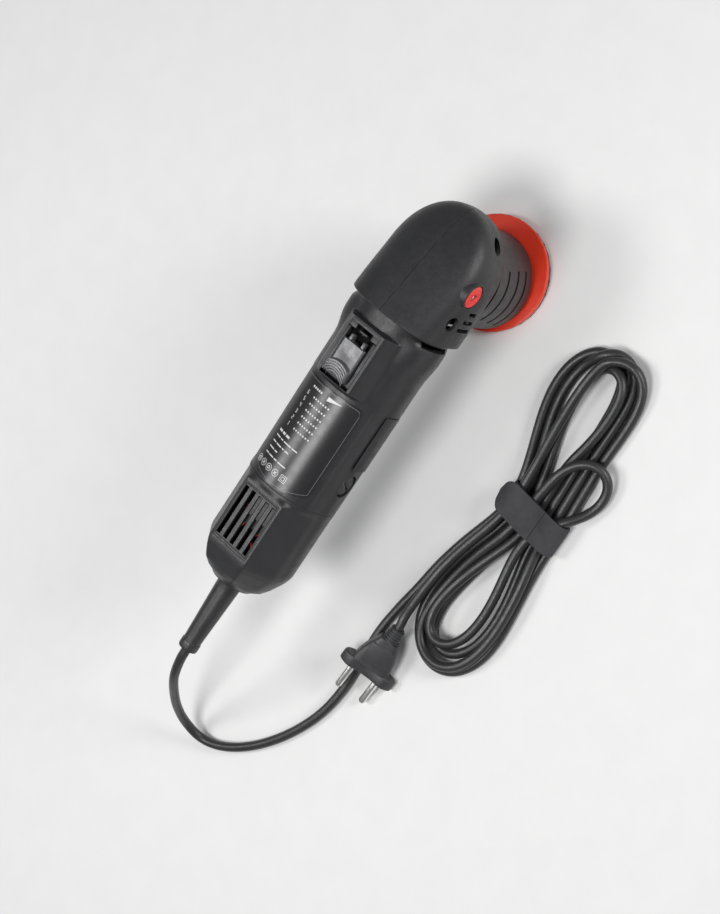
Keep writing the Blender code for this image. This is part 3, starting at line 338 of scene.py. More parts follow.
def cord_route():
    """The sleeve, the lead on the floor, four turns through the tie, the spare loop, and back to the plug.

    far_ folds are at the head's end and near_ folds at the plug's end.
    """
    lead = mm((-288, 0, 78), (-298, 0, 77.9), (-308.6, .5, 75.8), (-323.6, 1.8, 67), (-339.5, 3.3, 50.5),
              (-353.8, 3.4, 33), (-365.3, 0, 16.5), (-370.5, -10.3, 7), (-367.4, -23.4, 3.6),
              (-356.6, -38.3), (-341, -52), (-321.4, -63.8), (-299.8, -72.2), (-278, -75.6), (-254, -74.9),
              (-229, -73.7), (-208, -75.6), (-188, -78.8), (-165, -82), (-140, -88), (-120, -95, 4.5))
    far_1 = mm((-77, -93, 4), (-56, -84), (-35, -77), (-15, -75.5), (-1, -80), (8, -89), (11, -100),
               (6, -111), (-6, -117), (-25, -119), (-50, -119.5), (-75, -122, 4))
    far_2 = mm((-77, -100, 4), (-58, -92), (-38, -85), (-18, -82.5), (-1, -86), (10, -94), (16, -105),
               (13, -117), (2, -124), (-17, -126), (-40, -126), (-75, -128.5, 4))
    far_3 = mm((-77, -101, 11), (-58, -98, 10.5), (-38, -96, 10), (-20, -95, 10), (-6, -95.8, 10.5),
               (5, -99.5, 11), (13, -106.5, 11), (15.5, -116, 9.5), (11, -125.5, 7), (1, -131.3, 4.5),
               (-12, -133.5, 3.6), (-28, -133.5), (-50, -132.5), (-75, -134, 4))
    far_4 = mm((-77, -107, 4), (-58, -100), (-38, -94.5), (-20, -92.5), (-8, -93, 3.6), (1.5, -96.5, 5),
               (7, -104, 8), (6.5, -113, 10.2), (-0.5, -119.5, 10.3), (-12, -122, 10), (-30, -122.5, 10),
               (-48, -120.5, 9.6), (-62, -117, 7), (-75, -115.5, 4.6))
    near_1 = mm((-125, -136, 4), (-140, -138.5), (-160, -141.5), (-182, -144.5), (-202, -142),
                (-217, -133), (-223.5, -118), (-219, -103), (-206, -92), (-185, -86.5), (-160, -88.5),
                (-140, -94.5), (-125, -101, 4))
    near_2 = mm((-125, -135, 9.5), (-140, -138, 9.5), (-163, -141.5, 9.5), (-184, -142, 9.5),
                (-203, -138.5, 9.8), (-216, -130, 10), (-220, -117, 10), (-215, -103, 9.8),
                (-203, -94.5, 8), (-182, -93.5, 6), (-159, -97, 7), (-140, -103, 9.5), (-125, -109, 11))
    near_3 = mm((-125, -126, 4), (-140, -130), (-160, -135), (-182, -136.5), (-197, -133.5), (-208, -126),
                (-212.5, -115.5), (-208, -105.5), (-198, -100.3), (-185, -99.3), (-170, -101.2),
                (-155, -104.5), (-140, -108, 3.6), (-125, -111, 4))
    near_4 = mm((-125, -115, 8), (-137, -110, 9.5), (-160, -102.5, 10), (-179, -98, 10), (-192, -96.5, 10),
                (-202, -100, 10), (-207.5, -108, 10), (-206, -117.5, 10), (-198, -125.3, 10),
                (-186, -129.3, 10), (-167, -129.5, 9.8), (-147, -126, 9.8), (-130, -122, 10.5))
    side = mm((-85, -115, 13.5), (-72, -115.5, 14.5), (-60, -119, 15), (-50.5, -127, 14),
              (-47.5, -137, 11), (-53, -146.2, 7), (-65.5, -149.8, 4.5), (-79, -146.5, 5), (-88, -140, 9))
    plug_lead = mm((-219, -87.5, 13.6), (-212.7, -87.6, 14.1), (-206, -86.6, 14.2), (-198, -85.8, 12.8),
                   (-185, -85, 10.6), (-165, -86.5, 9.9), (-145, -91, 10.4), (-125, -98, 11))
    first = (lead + through(-98.5, 4.9) + far_1 + through(-124.5, 4.9)[::-1] + near_3 + through(-111.5, 4.9)
             + far_4 + through(-118, 4.9)[::-1] + near_4 + mm((-112, -122, 11.4), (-94, -134, 11.4)))
    last = (plug_lead + through(-102, 11.4) + far_3 + through(-135.5, 4.9)[::-1] + near_1 + through(-105, 4.9)
            + far_2 + through(-131, 4.9)[::-1] + near_2 + through(-112.5, 11.4))
    return first + side[::-1] + last[::-1]


def settle(path, steps, pinned=(96, 6)):
    """The drawn route relaxes into a rope. It keeps its length, resists bending and clears itself.

    The lead and the plug's end are pinned: that many points at the start and at the end.
    """
    p, goal = path.copy(), path.copy()
    spacing = np.linalg.norm(np.diff(p, axis=0), axis=1)
    free = np.ones((len(p), 1))
    free[:pinned[0]] = 0
    free[-pinned[1]:] = 0
    ii, jj = np.triu_indices(len(p), 4)
    for _ in range(steps):
        p[:, :2] += (goal[:, :2] - p[:, :2]) * 0.02 * free
        p[:, 2:] += np.clip(goal[:, 2:] - p[:, 2:], -1, 0.0006) * 0.02 * free
        p[1:-1] += ((p[:-2] + p[2:]) / 2 - p[1:-1]) * 0.3 * free[1:-1]
        back = np.zeros_like(p)
        back[2:-2] = (-p[:-4] + 4 * p[1:-3] + 4 * p[3:-1] - p[4:]) / 6 - p[2:-2]
        p += back * 0.5 * free
        for _ in range(2):
            step = p[1:] - p[:-1]
            length = np.linalg.norm(step, axis=1)
            shift = (0.5 * (length - spacing) / length)[:, None] * step
            p[:-1] += shift * free[:-1] * 0.9
            p[1:] -= shift * free[1:] * 0.9
        for _ in range(2):
            apart = p[jj] - p[ii]
            length = np.linalg.norm(apart, axis=1)
            near = length < CORD_GAP
            a, b = ii[near], jj[near]
            held = np.maximum(length[near], 1e-9)
            push = (0.5 * (CORD_GAP - held) / held)[:, None] * apart[near]
            moved, count = np.zeros_like(p), np.zeros(len(p))
            np.add.at(moved, a, -push)
            np.add.at(moved, b, push)
            np.add.at(count, a, 1)
            np.add.at(count, b, 1)
            p += moved / np.maximum(count, 1)[:, None] * 1.6 * free
        p[:, 2] = np.maximum(p[:, 2], CORD_REST)
    return p


def mains_cord():
    path = settle(even(cord_route(), 0.004), 260)
    curve = line_curve("mains_cord", even(path, 0.002), CORD_R, 4)
    return piece("mains_cord", curve, CORD,
                 ("power_cord", "cord_side_loop", "plug_lead", "cord_hank"))


# ---- solids cut and joined for the shells ----
def smooth(mesh):
    for face in mesh.polygons:
        face.use_smooth = True
    mesh.set_sharp_from_angle(angle=SHARP_ANGLE)
    return mesh


def fresh(bm, name="tool"):
    bmesh.ops.recalc_face_normals(bm, faces=bm.faces)
    mesh = bpy.data.meshes.new(name)
    bm.to_mesh(mesh)
    bm.free()
    return mesh


def block(low, high, bevel=0.0):
    bm = bmesh.new()
    bmesh.ops.create_cube(bm, size=1.0)
    size, centre = Vector(high) - Vector(low), (Vector(high) + Vector(low)) / 2
    for v in bm.verts:
        v.co = Vector(v.co[i] * size[i] + centre[i] for i in range(3))
    if bevel:
        bmesh.ops.bevel(bm, geom=bm.edges[:], offset=bevel, segments=3, affect="EDGES", profile=0.5)
    return fresh(bm)


AXES = {"X": (Vector((0, 1, 0)), Vector((0, 0, 1)), Vector((1, 0, 0))),
        "Y": (Vector((0, 0, 1)), Vector((1, 0, 0)), Vector((0, 1, 0))),
        "Z": (Vector((1, 0, 0)), Vector((0, 1, 0)), Vector((0, 0, 1)))}


def revolved(profile, axis="Z", at=(0, 0, 0), steps=64, closed=False):
    """Turns (radius, distance) pairs about an axis: a solid from pole to pole, or a ring when closed."""
    u, v, w = AXES[axis]
    bm = bmesh.new()
    angles = [2 * pi * i / steps for i in range(steps)]
    rings = [[Vector(at) + w * d + max(r, 1e-6) * (cos(a) * u + sin(a) * v) for a in angles]
             for r, d in profile]
    loft(bm, rings, closed=closed)
    return fresh(bm)


def rod(radius, start, end, axis, at=(0, 0, 0), steps=48):
    return revolved(((radius, start), (radius, end)), axis, at, steps)


def arc_bar(r_in, r_out, low, high, start, end, steps=40):
    """A bar that follows a circle about the Z axis, from one angle in degrees to another."""
    bm = bmesh.new()
    rings = []
    for i in range(steps + 1):
        a = radians(start + (end - start) * i / steps)
        rings.append([(r * cos(a), r * sin(a), z)
                      for r, z in ((r_in, low), (r_out, low), (r_out, high), (r_in, high))])
    loft(bm, rings)
    return fresh(bm)


def carved(name, body, *steps):
    """The body after each (operation, tool) in turn, as a new mesh with even shading."""
    target = link(bpy.data.objects.new("carving", body))
    tools = []
    for operation, mesh in steps:
        tool = link(bpy.data.objects.new("tool", mesh))
        tools.append(tool)
        change = target.modifiers.new("change", "BOOLEAN")
        change.operation, change.object, change.solver = operation, tool, "EXACT"
    graph = bpy.context.evaluated_depsgraph_get()
    mesh = bpy.data.meshes.new_from_object(target.evaluated_get(graph))
    mesh.name = name
    for obj in [target] + tools:
        bpy.data.objects.remove(obj)
    return smooth(mesh)


def even_shade(obj):
    shade = obj.modifiers.new("shade", "WEIGHTED_NORMAL")
    shade.keep_sharp = True
    shade.weight = 60


def add(mesh, *others):
    """One mesh that holds several."""
    bm = bmesh.new()
    for m in (mesh, *others):
        bm.from_mesh(m)
    joined = bpy.data.meshes.new(mesh.name)
    bm.to_mesh(joined)
    bm.free()
    return smooth(joined)


CUT, JOIN = "DIFFERENCE", "UNION"
GAP = 0.0003  # between two mating shells
AXIS_Z = (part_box("armature_shaft")[0].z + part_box("armature_shaft")[1].z) / 2
LOCK_Z = 0.087
ON_AXIS, ON_LOCK = (0, 0, AXIS_Z), (0, 0, LOCK_Z)


# ---- head ----
HEAD_NOSE, HEAD_HALF, HEAD_WALL = 0.042, 0.0355, 0.0023
COLLAR_X, COLLAR_UP, COLLAR_DOWN, DOME_SLOPE = -0.0366, 0.0356, 0.036, 0.278
HEAD_FLOOR = 0.058
SCREW_HOLES = ((0.0307, 0.0742, 0.0043), (-0.0203, 0.0905, 0.0048))  # x, z and radius, front then rear


def head_ring(x, inset, count=112):
    """The head's outline at one place: a rounded box section that closes towards the nose.

    The unseen side's upper corner is rounder towards the nose, as the photograph's outline shows.
    """
    forward = min(max(x, 0.0) / (HEAD_NOSE - inset), 0.9999)
    half = (HEAD_HALF - inset) * sqrt(1 - forward ** 2)
    up = (COLLAR_UP - DOME_SLOPE * (x - COLLAR_X) - inset) * (1 - forward ** 3.2) ** (1 / 3.2)
    down = (COLLAR_DOWN - inset) * (1 - forward ** 2.6) ** (1 / 2.6)
    upper = 2.6 - 0.42 * rise(x, -0.03, 0.012)
    ring = []
    for i in range(count):
        a = 2 * pi * (i + 0.5) / count
        y, z = cos(a), sin(a)
        power = 2 / (2.6 if z < 0 else upper if y > 0 else 3.2)
        ring.append((x, signed_power(y, power) * half,
                     AXIS_Z + signed_power(z, power) * (up if z > 0 else down)))
    return ring


def head_shell():
    """From the nose back along the inside, round the collar's rim, and out to the nose again."""
    bm = bmesh.new()
    bore = HEAD_NOSE - HEAD_WALL
    rings = [head_ring(bore * sin(radians(a)), HEAD_WALL) for a in range(84, 0, -7)]
    rings += [head_ring(x, HEAD_WALL) for x in (0.0, -0.018, COLLAR_X + 0.0006)]
    rings += [head_ring(COLLAR_X + x, inset)
              for x, inset in ((0.0004, 0.0022), (0.0, 0.0016), (0.0, 0.0008), (0.0005, 0.0001))]
    rings += [head_ring(COLLAR_X + 0.0366 * i / 12, 0.0) for i in range(1, 13)]
    rings += [head_ring(HEAD_NOSE * sin(radians(a)), 0.0) for a in range(4, 88, 3)]
    loft(bm, rings)
    return fresh(bm, "head")


def head_covers():
    for side, name in ((-1, "right"), (1, "left")):
        steps = [(CUT, block((-0.0215, -0.05, 0.0), (0.06, 0.05, HEAD_FLOOR))),
                 (CUT, rod(0.0342, 0.0, HEAD_FLOOR, "Z", steps=96))]
        if side < 0:
            boss = ((0.0098, -0.03), (0.0095, -0.0333), (0.0092, -0.0346), (0.0089, -0.0352),
                    (0.0085, -0.0354))
            steps.append((JOIN, revolved(boss, "Y", ON_LOCK)))
            steps.append((CUT, rod(0.0081, -0.05, -0.02, "Y", ON_LOCK, 64)))
        low, high = flank(side, 0.01, 0.05)
        for x, z, radius in SCREW_HOLES:
            steps.append((CUT, rod(radius, low, high, "Y", (x, 0, z))))
        low, high = flank(side, 0.025, 0.045)
        for x, foot, top in ((-0.0115, 0.0695, 0.0785), (-0.0173, 0.067, 0.08), (-0.0231, 0.065, 0.0815)):
            steps.append((CUT, block((x - 0.0013, low, foot), (x + 0.0013, high, top))))
        low, high = flank(side, GAP / 2, -0.08)
        steps.append((CUT, block((-0.08, low, 0.0), (0.08, high, 0.2))))
        mesh = carved(f"head_{name}", head_shell(), *steps)
        even_shade(piece(f"head_shell_{name}", mesh, COVER, [f"head_cover_{name}"]))


def screw_posts():
    """Moulded tubes behind the screw holes, as deep as the gear housing lets them be."""
    posts = []
    for side in (-1, 1):
        for (x, z, inner), (out, depth) in zip(SCREW_HOLES, ((0.0168, 0.0105), (0.0303, 0.0275))):
            outer = inner + 0.001
            profile = ((inner, side * out), (inner, side * depth), (outer, side * depth), (outer, side * out))
            posts.append(revolved(profile, "Y", (x, 0, z), 40, closed=True))
    piece("screw_posts", add(*posts), COVER)


# ---- handle ----
HANDLE_FRONT, SPLIT_X, TAIL_END = -0.0346, -0.167, -0.2415
HANDLE_R, MOTOR_WALL, TAIL_WALL, TAIL_R = 0.0318, 0.0025, 0.0023, 0.0311
# the height of a flat top, the distance of the planes beside it, and their tilt in degrees
PLATFORM_UP, PLATFORM_SIDE, PLATFORM_TILT = 0.0358, 0.02975, 60.7
GRILLE_UP, GRILLE_SIDE, GRILLE_TILT = 0.0303, 0.0301, 56.4
# x, and how far the tail's skin has come in there
TAIL_TAPER = ((-0.217, 0.0), (-0.22, 0.0006), (-0.224, 0.0022), (-0.2275, 0.004), (-0.232, 0.0064),
              (-0.2365, 0.0098), (-0.24, 0.0148), (-0.2415, 0.0166))


def soft_max(a, b, k=0.0006):
    h = max(k - abs(a - b), 0.0) / k
    return max(a, b) + h * h * k / 4


def soft_min(a, b, k=0.0006):
    return -soft_max(-a, -b, k)


def flat_and_flanks(angle, up, distance, tilt):
    """A flat top with a sloping plane on each side, as a distance from the axis at an angle from the top."""
    a = abs(angle)
    top = up / max(cos(a), 0.05)
    side = distance / max(cos(a - radians(tilt)), 0.05)
    return soft_min(top, side, 0.0008)


def handle_radius(x, angle):
    """The handle's outside, as a distance from the axis at an angle from the top."""
    a = degrees(abs(angle))
    base = HANDLE_R - 0.0005 * rise(-x, 0.09, 0.167)
    sunk_band = rise(a, 55, 58) * (1 - rise(a, 96, 104))
    r = base - 0.00045 * sunk_band * rise(-x, 0.092, 0.096) * (1 - rise(-x, 0.16, 0.166))
    shoulder = (1 - rise(-x, 0.05, 0.069)) * rise(-x, 0.036, 0.044)
    r += 0.0034 * shoulder * rise(a, 34, 60) * (1 - 0.6 * rise(a, 70, 130))
    raised = rise(-x, 0.0462, 0.0478) * (1 - rise(-x, 0.0885, 0.0925))
    if raised > 0 and a < 75:
        plateau = flat_and_flanks(angle, PLATFORM_UP, PLATFORM_SIDE, PLATFORM_TILT)
        r = soft_max(r, base + (plateau - base) * raised - 0.0012 * (1 - raised))
    flat = rise(-x, 0.1685, 0.1725)
    if flat > 0:
        facets = flat_and_flanks(angle, GRILLE_UP, GRILLE_SIDE, GRILLE_TILT)
        shaped = facets if a < 70 else soft_min(facets, TAIL_R) if a < 84 else TAIL_R
        r += (shaped - r) * flat * (1 - rise(-x, 0.23, 0.24))
    return r - float(np.interp(-x, [-edge for edge, _ in TAIL_TAPER], [lean for _, lean in TAIL_TAPER]))


def handle_skin(stations, wall, count=180):
    bm = bmesh.new()
    angles = [2 * pi * (i + 0.5) / count - pi for i in range(count)]

    def ring(x, reach):
        return [(x, -reach(a) * sin(a), AXIS_Z + reach(a) * cos(a)) for a in angles]
    outer = [ring(x, lambda a, x=x: handle_radius(x, a)) for x in stations]
    inner = [ring(x, lambda a, x=x: min(handle_radius(x, a), HANDLE_R) - wall) for x in stations[::-1]]
    loft(bm, outer + inner, closed=True)
    return fresh(bm, "handle")


def motor_shell():
    stations = (spaced(HANDLE_FRONT, -0.0455, 5) + spaced(-0.046, -0.0482, 6) + spaced(-0.05, -0.088, 10)
                + spaced(-0.0885, -0.093, 7) + spaced(-0.095, -0.166, 16) + [SPLIT_X])
    top = AXIS_Z + PLATFORM_UP
    steps = [(JOIN, rod(0.03, -0.1668, -0.1635, "X", ON_AXIS)),
             (JOIN, rod(0.0128, -0.17, -0.159, "X", ON_AXIS)),
             (CUT, block((-0.0885, -0.0118, top - 0.0046), (-0.0495, 0.0118, 0.125), 0.0002)),
             (CUT, block((-0.0845, -0.0034, 0.095), (-0.0655, 0.0034, 0.12))),
             (CUT, rod(0.0108, -0.1682, -0.15, "X", ON_AXIS)),
             (CUT, rod(0.0045, -0.172, -0.15, "X", ON_AXIS)),
             (CUT, block((-0.172, -0.0036, 0.1022), (-0.155, 0.0036, 0.1052)))]
    for side in (1, -1):
        low, high = flank(side, 0.024, 0.04)
        steps.append((CUT, block((-0.0418, low, 0.0715), (-0.0386, high, 0.0965))))
        low, high = flank(side, 0.02, 0.04)
        steps.append((CUT, rod(0.0082, low, high, "Y", (-0.1448, 0, AXIS_Z))))
    mesh = carved("motor_shell", handle_skin(stations, MOTOR_WALL), *steps)
    even_shade(piece("motor_shell", mesh, HOUSING, ["motor_housing"]))


def tail_shell():
    stations = ([SPLIT_X - GAP] + spaced(-0.1685, -0.1725, 6) + spaced(-0.1745, -0.2155, 9)
                + [x for x, _ in TAIL_TAPER[:-1]] + [-0.241, TAIL_END])
    stations = sorted(set(stations + spaced(-0.2185, -0.2385, 10)), reverse=True)
    steps = [(JOIN, rod(0.015, -0.2415, -0.2385, "X", ON_AXIS, 96)),
             (CUT, rod(0.0087, -0.25, -0.23, "X", ON_AXIS, 64)),
             (CUT, block((-0.2155, -0.015, 0.09), (-0.174, 0.015, AXIS_Z + GRILLE_UP - 0.0022)))]
    for k in range(-2, 3):
        y = 0.006 * k
        steps.append((CUT, block((-0.2125, y - 0.0016, 0.1), (-0.1765, y + 0.0016, 0.12))))
    low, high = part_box("speed_dial")
    steps.append((CUT, block((low.x - 0.0005, 0.02, low.z - 0.0006),
                             (high.x + 0.0005, 0.04, high.z + 0.0006))))
    mesh = carved("tail_shell", handle_skin(stations, TAIL_WALL), *steps)
    even_shade(piece("tail_shell", mesh, HOUSING, ["rear_cover"]))
    # a band under the split, so that no light shows through it
    profile = ((0.029, -0.165), (0.0299, -0.165), (0.0299, -0.169), (0.029, -0.169))
    band = revolved(profile, "X", ON_AXIS, 96, closed=True)
    piece("split_band", add(band), HOUSING)
    # the raised double line round the grille
    ribs = []
    for grow, tall in ((0.0, 0.0005), (0.0016, 0.0003)):
        x0, x1, y1 = -0.214 - grow, -0.175 + grow * 0.6, 0.0138 + grow * 0.7
        z0, z1 = AXIS_Z + GRILLE_UP - 0.0003, AXIS_Z + GRILLE_UP + tall
        w = 0.0005
        ribs += [block(start, end, 0.0001)
                 for start, end in (((x0, -y1, z0), (x1, -y1 + w, z1)), ((x0, y1 - w, z0), (x1, y1, z1)),
                                    ((x0, -y1, z0), (x0 + w, y1, z1)), ((x1 - w, -y1, z0), (x1, y1, z1)))]
    piece("grille_border", add(*ribs), HOUSING)


# ---- shroud ----
def shroud_shell():
    profile = ((0.0332, 0.0576), (0.0329, 0.045), (0.0325, 0.022), (0.0322, 0.0106), (0.032, 0.0101),
               (0.0316, 0.01), (0.03, 0.01), (0.0308, 0.0546), (0.0164, 0.0546), (0.0164, 0.0576))
    steps = []
    for centre in (-88, 92):
        for z, spread in ((0.0455, 33), (0.032, 36), (0.0205, 38)):
            slot = arc_bar(0.025, 0.04, z - 0.0013, z + 0.0013, centre - spread, centre + spread)
            steps.append((CUT, slot))
    for a in (45, 225):
        at = (0.0246 * cos(radians(a)), 0.0246 * sin(radians(a)), 0)
        steps.append((CUT, rod(0.0021, 0.05, 0.06, "Z", at)))
    mesh = carved("shroud_shell", revolved(profile, steps=128, closed=True), *steps)
    even_shade(piece("shroud_shell", mesh, HOUSING, ["shroud"]))
    # painted shade: a near-black wall behind the slots
    profile = ((0.0288, 0.054), (0.0288, 0.015), (0.0284, 0.015), (0.0284, 0.054))
    liner = revolved(profile, steps=96, closed=True)
    piece("painted_shade_wall", add(liner), SHADE_BLACK)


# ---- switch ----
RIDGE_FIRST, RIDGE_PITCH, RIDGE_TALL, RIDGE_COUNT = 0.013, 0.0016, 0.0005, 5
RIDGE_CENTRE_X = -0.0885
THUMB_FLOOR = 0.1098


def thumb_height(x, y):
    """The slider's top: a dished plate, then a dome with curved ridges."""
    reach = hypot(x - RIDGE_CENTRE_X, y)
    dome = 1 - rise(reach, 0.0133, 0.0143)
    plate = 0.11625 - 0.00035 * exp(-((x + 0.069) / 0.0045) ** 2 - (y / 0.0052) ** 2)
    crown = 0.119 - 5.5 * y * y - 90.0 * max(0.0, -(x + 0.08)) ** 2
    ridge = RIDGE_TALL * max(0.0, cos(2 * pi * (reach - RIDGE_FIRST) / RIDGE_PITCH))
    ridge *= rise(reach, 0.005, 0.0062)
    return plate + (crown + ridge - plate) * dome


def switch():
    bm = bmesh.new()
    columns = 72
    rows = []
    for x in spaced(-0.0616, -0.0866, 84):
        half = 0.0084 - 0.0022 * rise(-x, 0.084, 0.0872)
        row = []
        for j in range(columns + 1):
            y = half * (2 * j / columns - 1)
            round_off = 0.0006 * (1 - rise(half - abs(y), 0, 0.0009)) + 0.0022 * rise(-x, 0.0845, 0.0868)
            row.append((x, y, thumb_height(x, y) - round_off))
        rows.append([(x, -half, THUMB_FLOOR)] + row + [(x, half, THUMB_FLOOR)])
    loft(bm, rows)
    thumb = fresh(bm)
    leg = block((-0.081, -0.003, 0.1082), (-0.075, 0.003, 0.111))
    tabs = [block((-0.0618, y - 0.001, THUMB_FLOOR), (-0.0574, y + 0.001, 0.115), 0.0002)
            for y in (-0.005, 0.005)]
    piece("switch_thumb", add(thumb, leg, *tabs), SLIDER, ["switch_slider"], "switch")
    arcs = []
    for reach in (RIDGE_FIRST - RIDGE_PITCH * k for k in range(RIDGE_COUNT)):
        bm = bmesh.new()
        rings = []
        widest = min(radians(80), asin(min(0.99, 0.0076 / reach)))
        for i in range(25):
            a = widest * (2 * i / 24 - 1)
            x, y = RIDGE_CENTRE_X + reach * cos(a), reach * sin(a)
            rings.append([(x + 0.0003 * cos(t), y, thumb_height(x, y) + 0.00022 * sin(t))
                          for t in (2 * pi * k / 10 for k in range(10))])
        loft(bm, rings)
        arcs.append(fresh(bm))
    # painted shade: the socket's floor under the slider takes the near-black shade colour
    floor = block((-0.064, -0.0116, 0.1088), (-0.0497, 0.0116, 0.1094))
    piece("socket_floor", add(floor), SHADE_BLACK)
    # painted highlight: the ridges are light grey where their crests would catch the light
    piece("grip_ridges", add(*arcs), RIDGE, body="switch")
    top = AXIS_Z + PLATFORM_UP
    foot = top - 0.0045
    rails = [block((-0.0862, y - 0.0012, foot), (-0.0545, y + 0.0012, top + 0.0004), 0.0003)
             for y in (-0.0107, 0.0107)]
    bar = [block((-0.0506, -0.0117, foot), (-0.0482, 0.0117, top + 0.0002), 0.0003),
           block((-0.0542, -0.0117, foot), (-0.0504, -0.0064, top + 0.0002), 0.0003),
           block((-0.0542, 0.0064, foot), (-0.0504, 0.0117, top + 0.0002), 0.0003),
           block((-0.0542, -0.0032, foot), (-0.0529, 0.0032, top), 0.0003),
           block((-0.0549, -0.0011, foot), (-0.054, 0.0011, top - 0.0006), 0.0002)]
    piece("switch_socket_trim", add(*rails, *bar), HOUSING)


# ---- label ----
LABEL_FRONT, LABEL_BACK = -0.0945, -0.166
LABEL_SPREAD = 46.0  # degrees to each side of the top
LABEL_LIFT, LABEL_THICK, PRINT_THICK = 0.0003, 0.0002, 0.0001
PRINT_LIFT = LABEL_LIFT + LABEL_THICK
METRES_PER_DEGREE = 0.000555  # along the label's curve


def on_handle(x, turn, lift):
    a = radians(turn)
    r = handle_radius(x, a) + lift
    return (x, -r * sin(a), AXIS_Z + r * cos(a))


def label_back(turn):
    """The sticker's lower edge is an arc."""
    return LABEL_BACK + 0.0062 * (turn / LABEL_SPREAD) ** 2


def wrapped_strip(points, lift, thick):
    """A thin solid on the handle from rows of (x, degrees)."""
    bm = bmesh.new()
    top = [[bm.verts.new(on_handle(x, d, lift + thick)) for x, d in row] for row in points]
    low = [[bm.verts.new(on_handle(x, d, lift - 0.0002)) for x, d in row] for row in points]
    n, m = len(points), len(points[0])
    for i in range(n - 1):
        for j in range(m - 1):
            bm.faces.new((top[i][j], top[i][j + 1], top[i + 1][j + 1], top[i + 1][j]))
            bm.faces.new((low[i][j], low[i + 1][j], low[i + 1][j + 1], low[i][j + 1]))
    edge = ([(i, 0) for i in range(n)] + [(n - 1, j) for j in range(1, m)]
            + [(i, m - 1) for i in range(n - 2, -1, -1)] + [(0, j) for j in range(m - 2, 0, -1)])
    for (i, j), (k, l) in zip(edge, edge[1:] + edge[:1]):
        bm.faces.new((top[i][j], low[i][j], low[k][l], top[k][l]))
    return fresh(bm)


def label():
    corner = 6.0

    def front(d):
        near = max(0.0, abs(d) - (LABEL_SPREAD - corner)) / corner
        return LABEL_FRONT - 0.003 * (1 - sqrt(max(0.0, 1 - near * near)))
    columns = spaced(-LABEL_SPREAD, LABEL_SPREAD, 64)
    rows = [[(front(d) + (label_back(d) - front(d)) * i / 40, d) for d in columns] for i in range(41)]
    sticker = wrapped_strip(rows, LABEL_LIFT, LABEL_THICK)
    piece("label_sticker", add(sticker), LABEL, ["rating_label"])
    inset_d, inset_x = 2.2, 0.0012
    scale = (LABEL_SPREAD - inset_d) / LABEL_SPREAD
    outline = [(front(d) - inset_x, d * scale) for d in columns]
    outline += [(label_back(d) + inset_x, d * scale) for d in columns[::-1]]
    strips = []
    width_x, width_d = 0.00028, 0.5
    for (xa, da), (xb, db) in zip(outline, outline[1:] + outline[:1]):
        long_side = abs(xa - xb) > 0.01
        parts = 24 if long_side else 1
        ends = [(xa + (xb - xa) * k / parts, da + (db - da) * k / parts) for k in range(parts + 1)]
        grow_x, grow_d = (0.0, width_d) if long_side else (width_x, 0.0)
        rows = [[(x, d), (x + grow_x, d + grow_d)] for x, d in ends]
        strips.append(wrapped_strip(rows, PRINT_LIFT, 0.00008))
    piece("label_border", add(*strips), LINE)


def print_bar(x, d0, d1, tall):
    cells = max(2, int(abs(d1 - d0) / 2))
    return wrapped_strip([[(x, d0 + (d1 - d0) * k / cells), (x - tall, d0 + (d1 - d0) * k / cells)]
                          for k in range(cells + 1)], PRINT_LIFT, PRINT_THICK)


DIGIT_STROKES = {  # on a grid 2 wide and 4 tall, from the lower left corner
    1: ((0.3, 3.2, 1, 4), (1, 4, 1, 0)),
    2: ((0, 4, 2, 4), (2, 4, 2, 2), (2, 2, 0, 2), (0, 2, 0, 0), (0, 0, 2, 0)),
    3: ((0, 4, 2, 4), (2, 4, 2, 0), (0, 2, 2, 2), (0, 0, 2, 0)),
    4: ((0, 4, 0, 2), (0, 2, 2, 2), (2, 4, 2, 0)),
    5: ((2, 4, 0, 4), (0, 4, 0, 2), (0, 2, 2, 2), (2, 2, 2, 0), (2, 0, 0, 0)),
    6: ((2, 4, 0, 4), (0, 4, 0, 0), (0, 0, 2, 0), (2, 0, 2, 2), (2, 2, 0, 2)),
}


def stroke(xa, da, xb, db, width):
    """A printed line between two points of (x, degrees)."""
    sa, sb = da * METRES_PER_DEGREE, db * METRES_PER_DEGREE
    along = Vector((xb - xa, sb - sa))
    length = max(along.length, 1e-6)
    side = Vector((-along.y, along.x)) / length * width / 2
    ext = along / length * width / 2
    cells = max(1, int(length / 0.0012))
    rows = []
    for k in range(cells + 1):
        t = k / cells
        x, s = xa - ext.x + (xb - xa + 2 * ext.x) * t, sa - ext.y + (sb - sa + 2 * ext.y) * t
        rows.append([(x + side.x, (s + side.y) / METRES_PER_DEGREE),
                     (x - side.x, (s - side.y) / METRES_PER_DEGREE)])
    return wrapped_strip(rows, PRINT_LIFT, PRINT_THICK)


def print_ring(x, d, radius, width, corners=28, turn=0.0):
    parts = []
    for k in range(corners):
        a, b = (turn + 2 * pi * j / corners for j in (k, k + 1))
        parts.append(stroke(x + radius * cos(a), d + radius * sin(a) / METRES_PER_DEGREE,
                            x + radius * cos(b), d + radius * sin(b) / METRES_PER_DEGREE, width))
    return parts


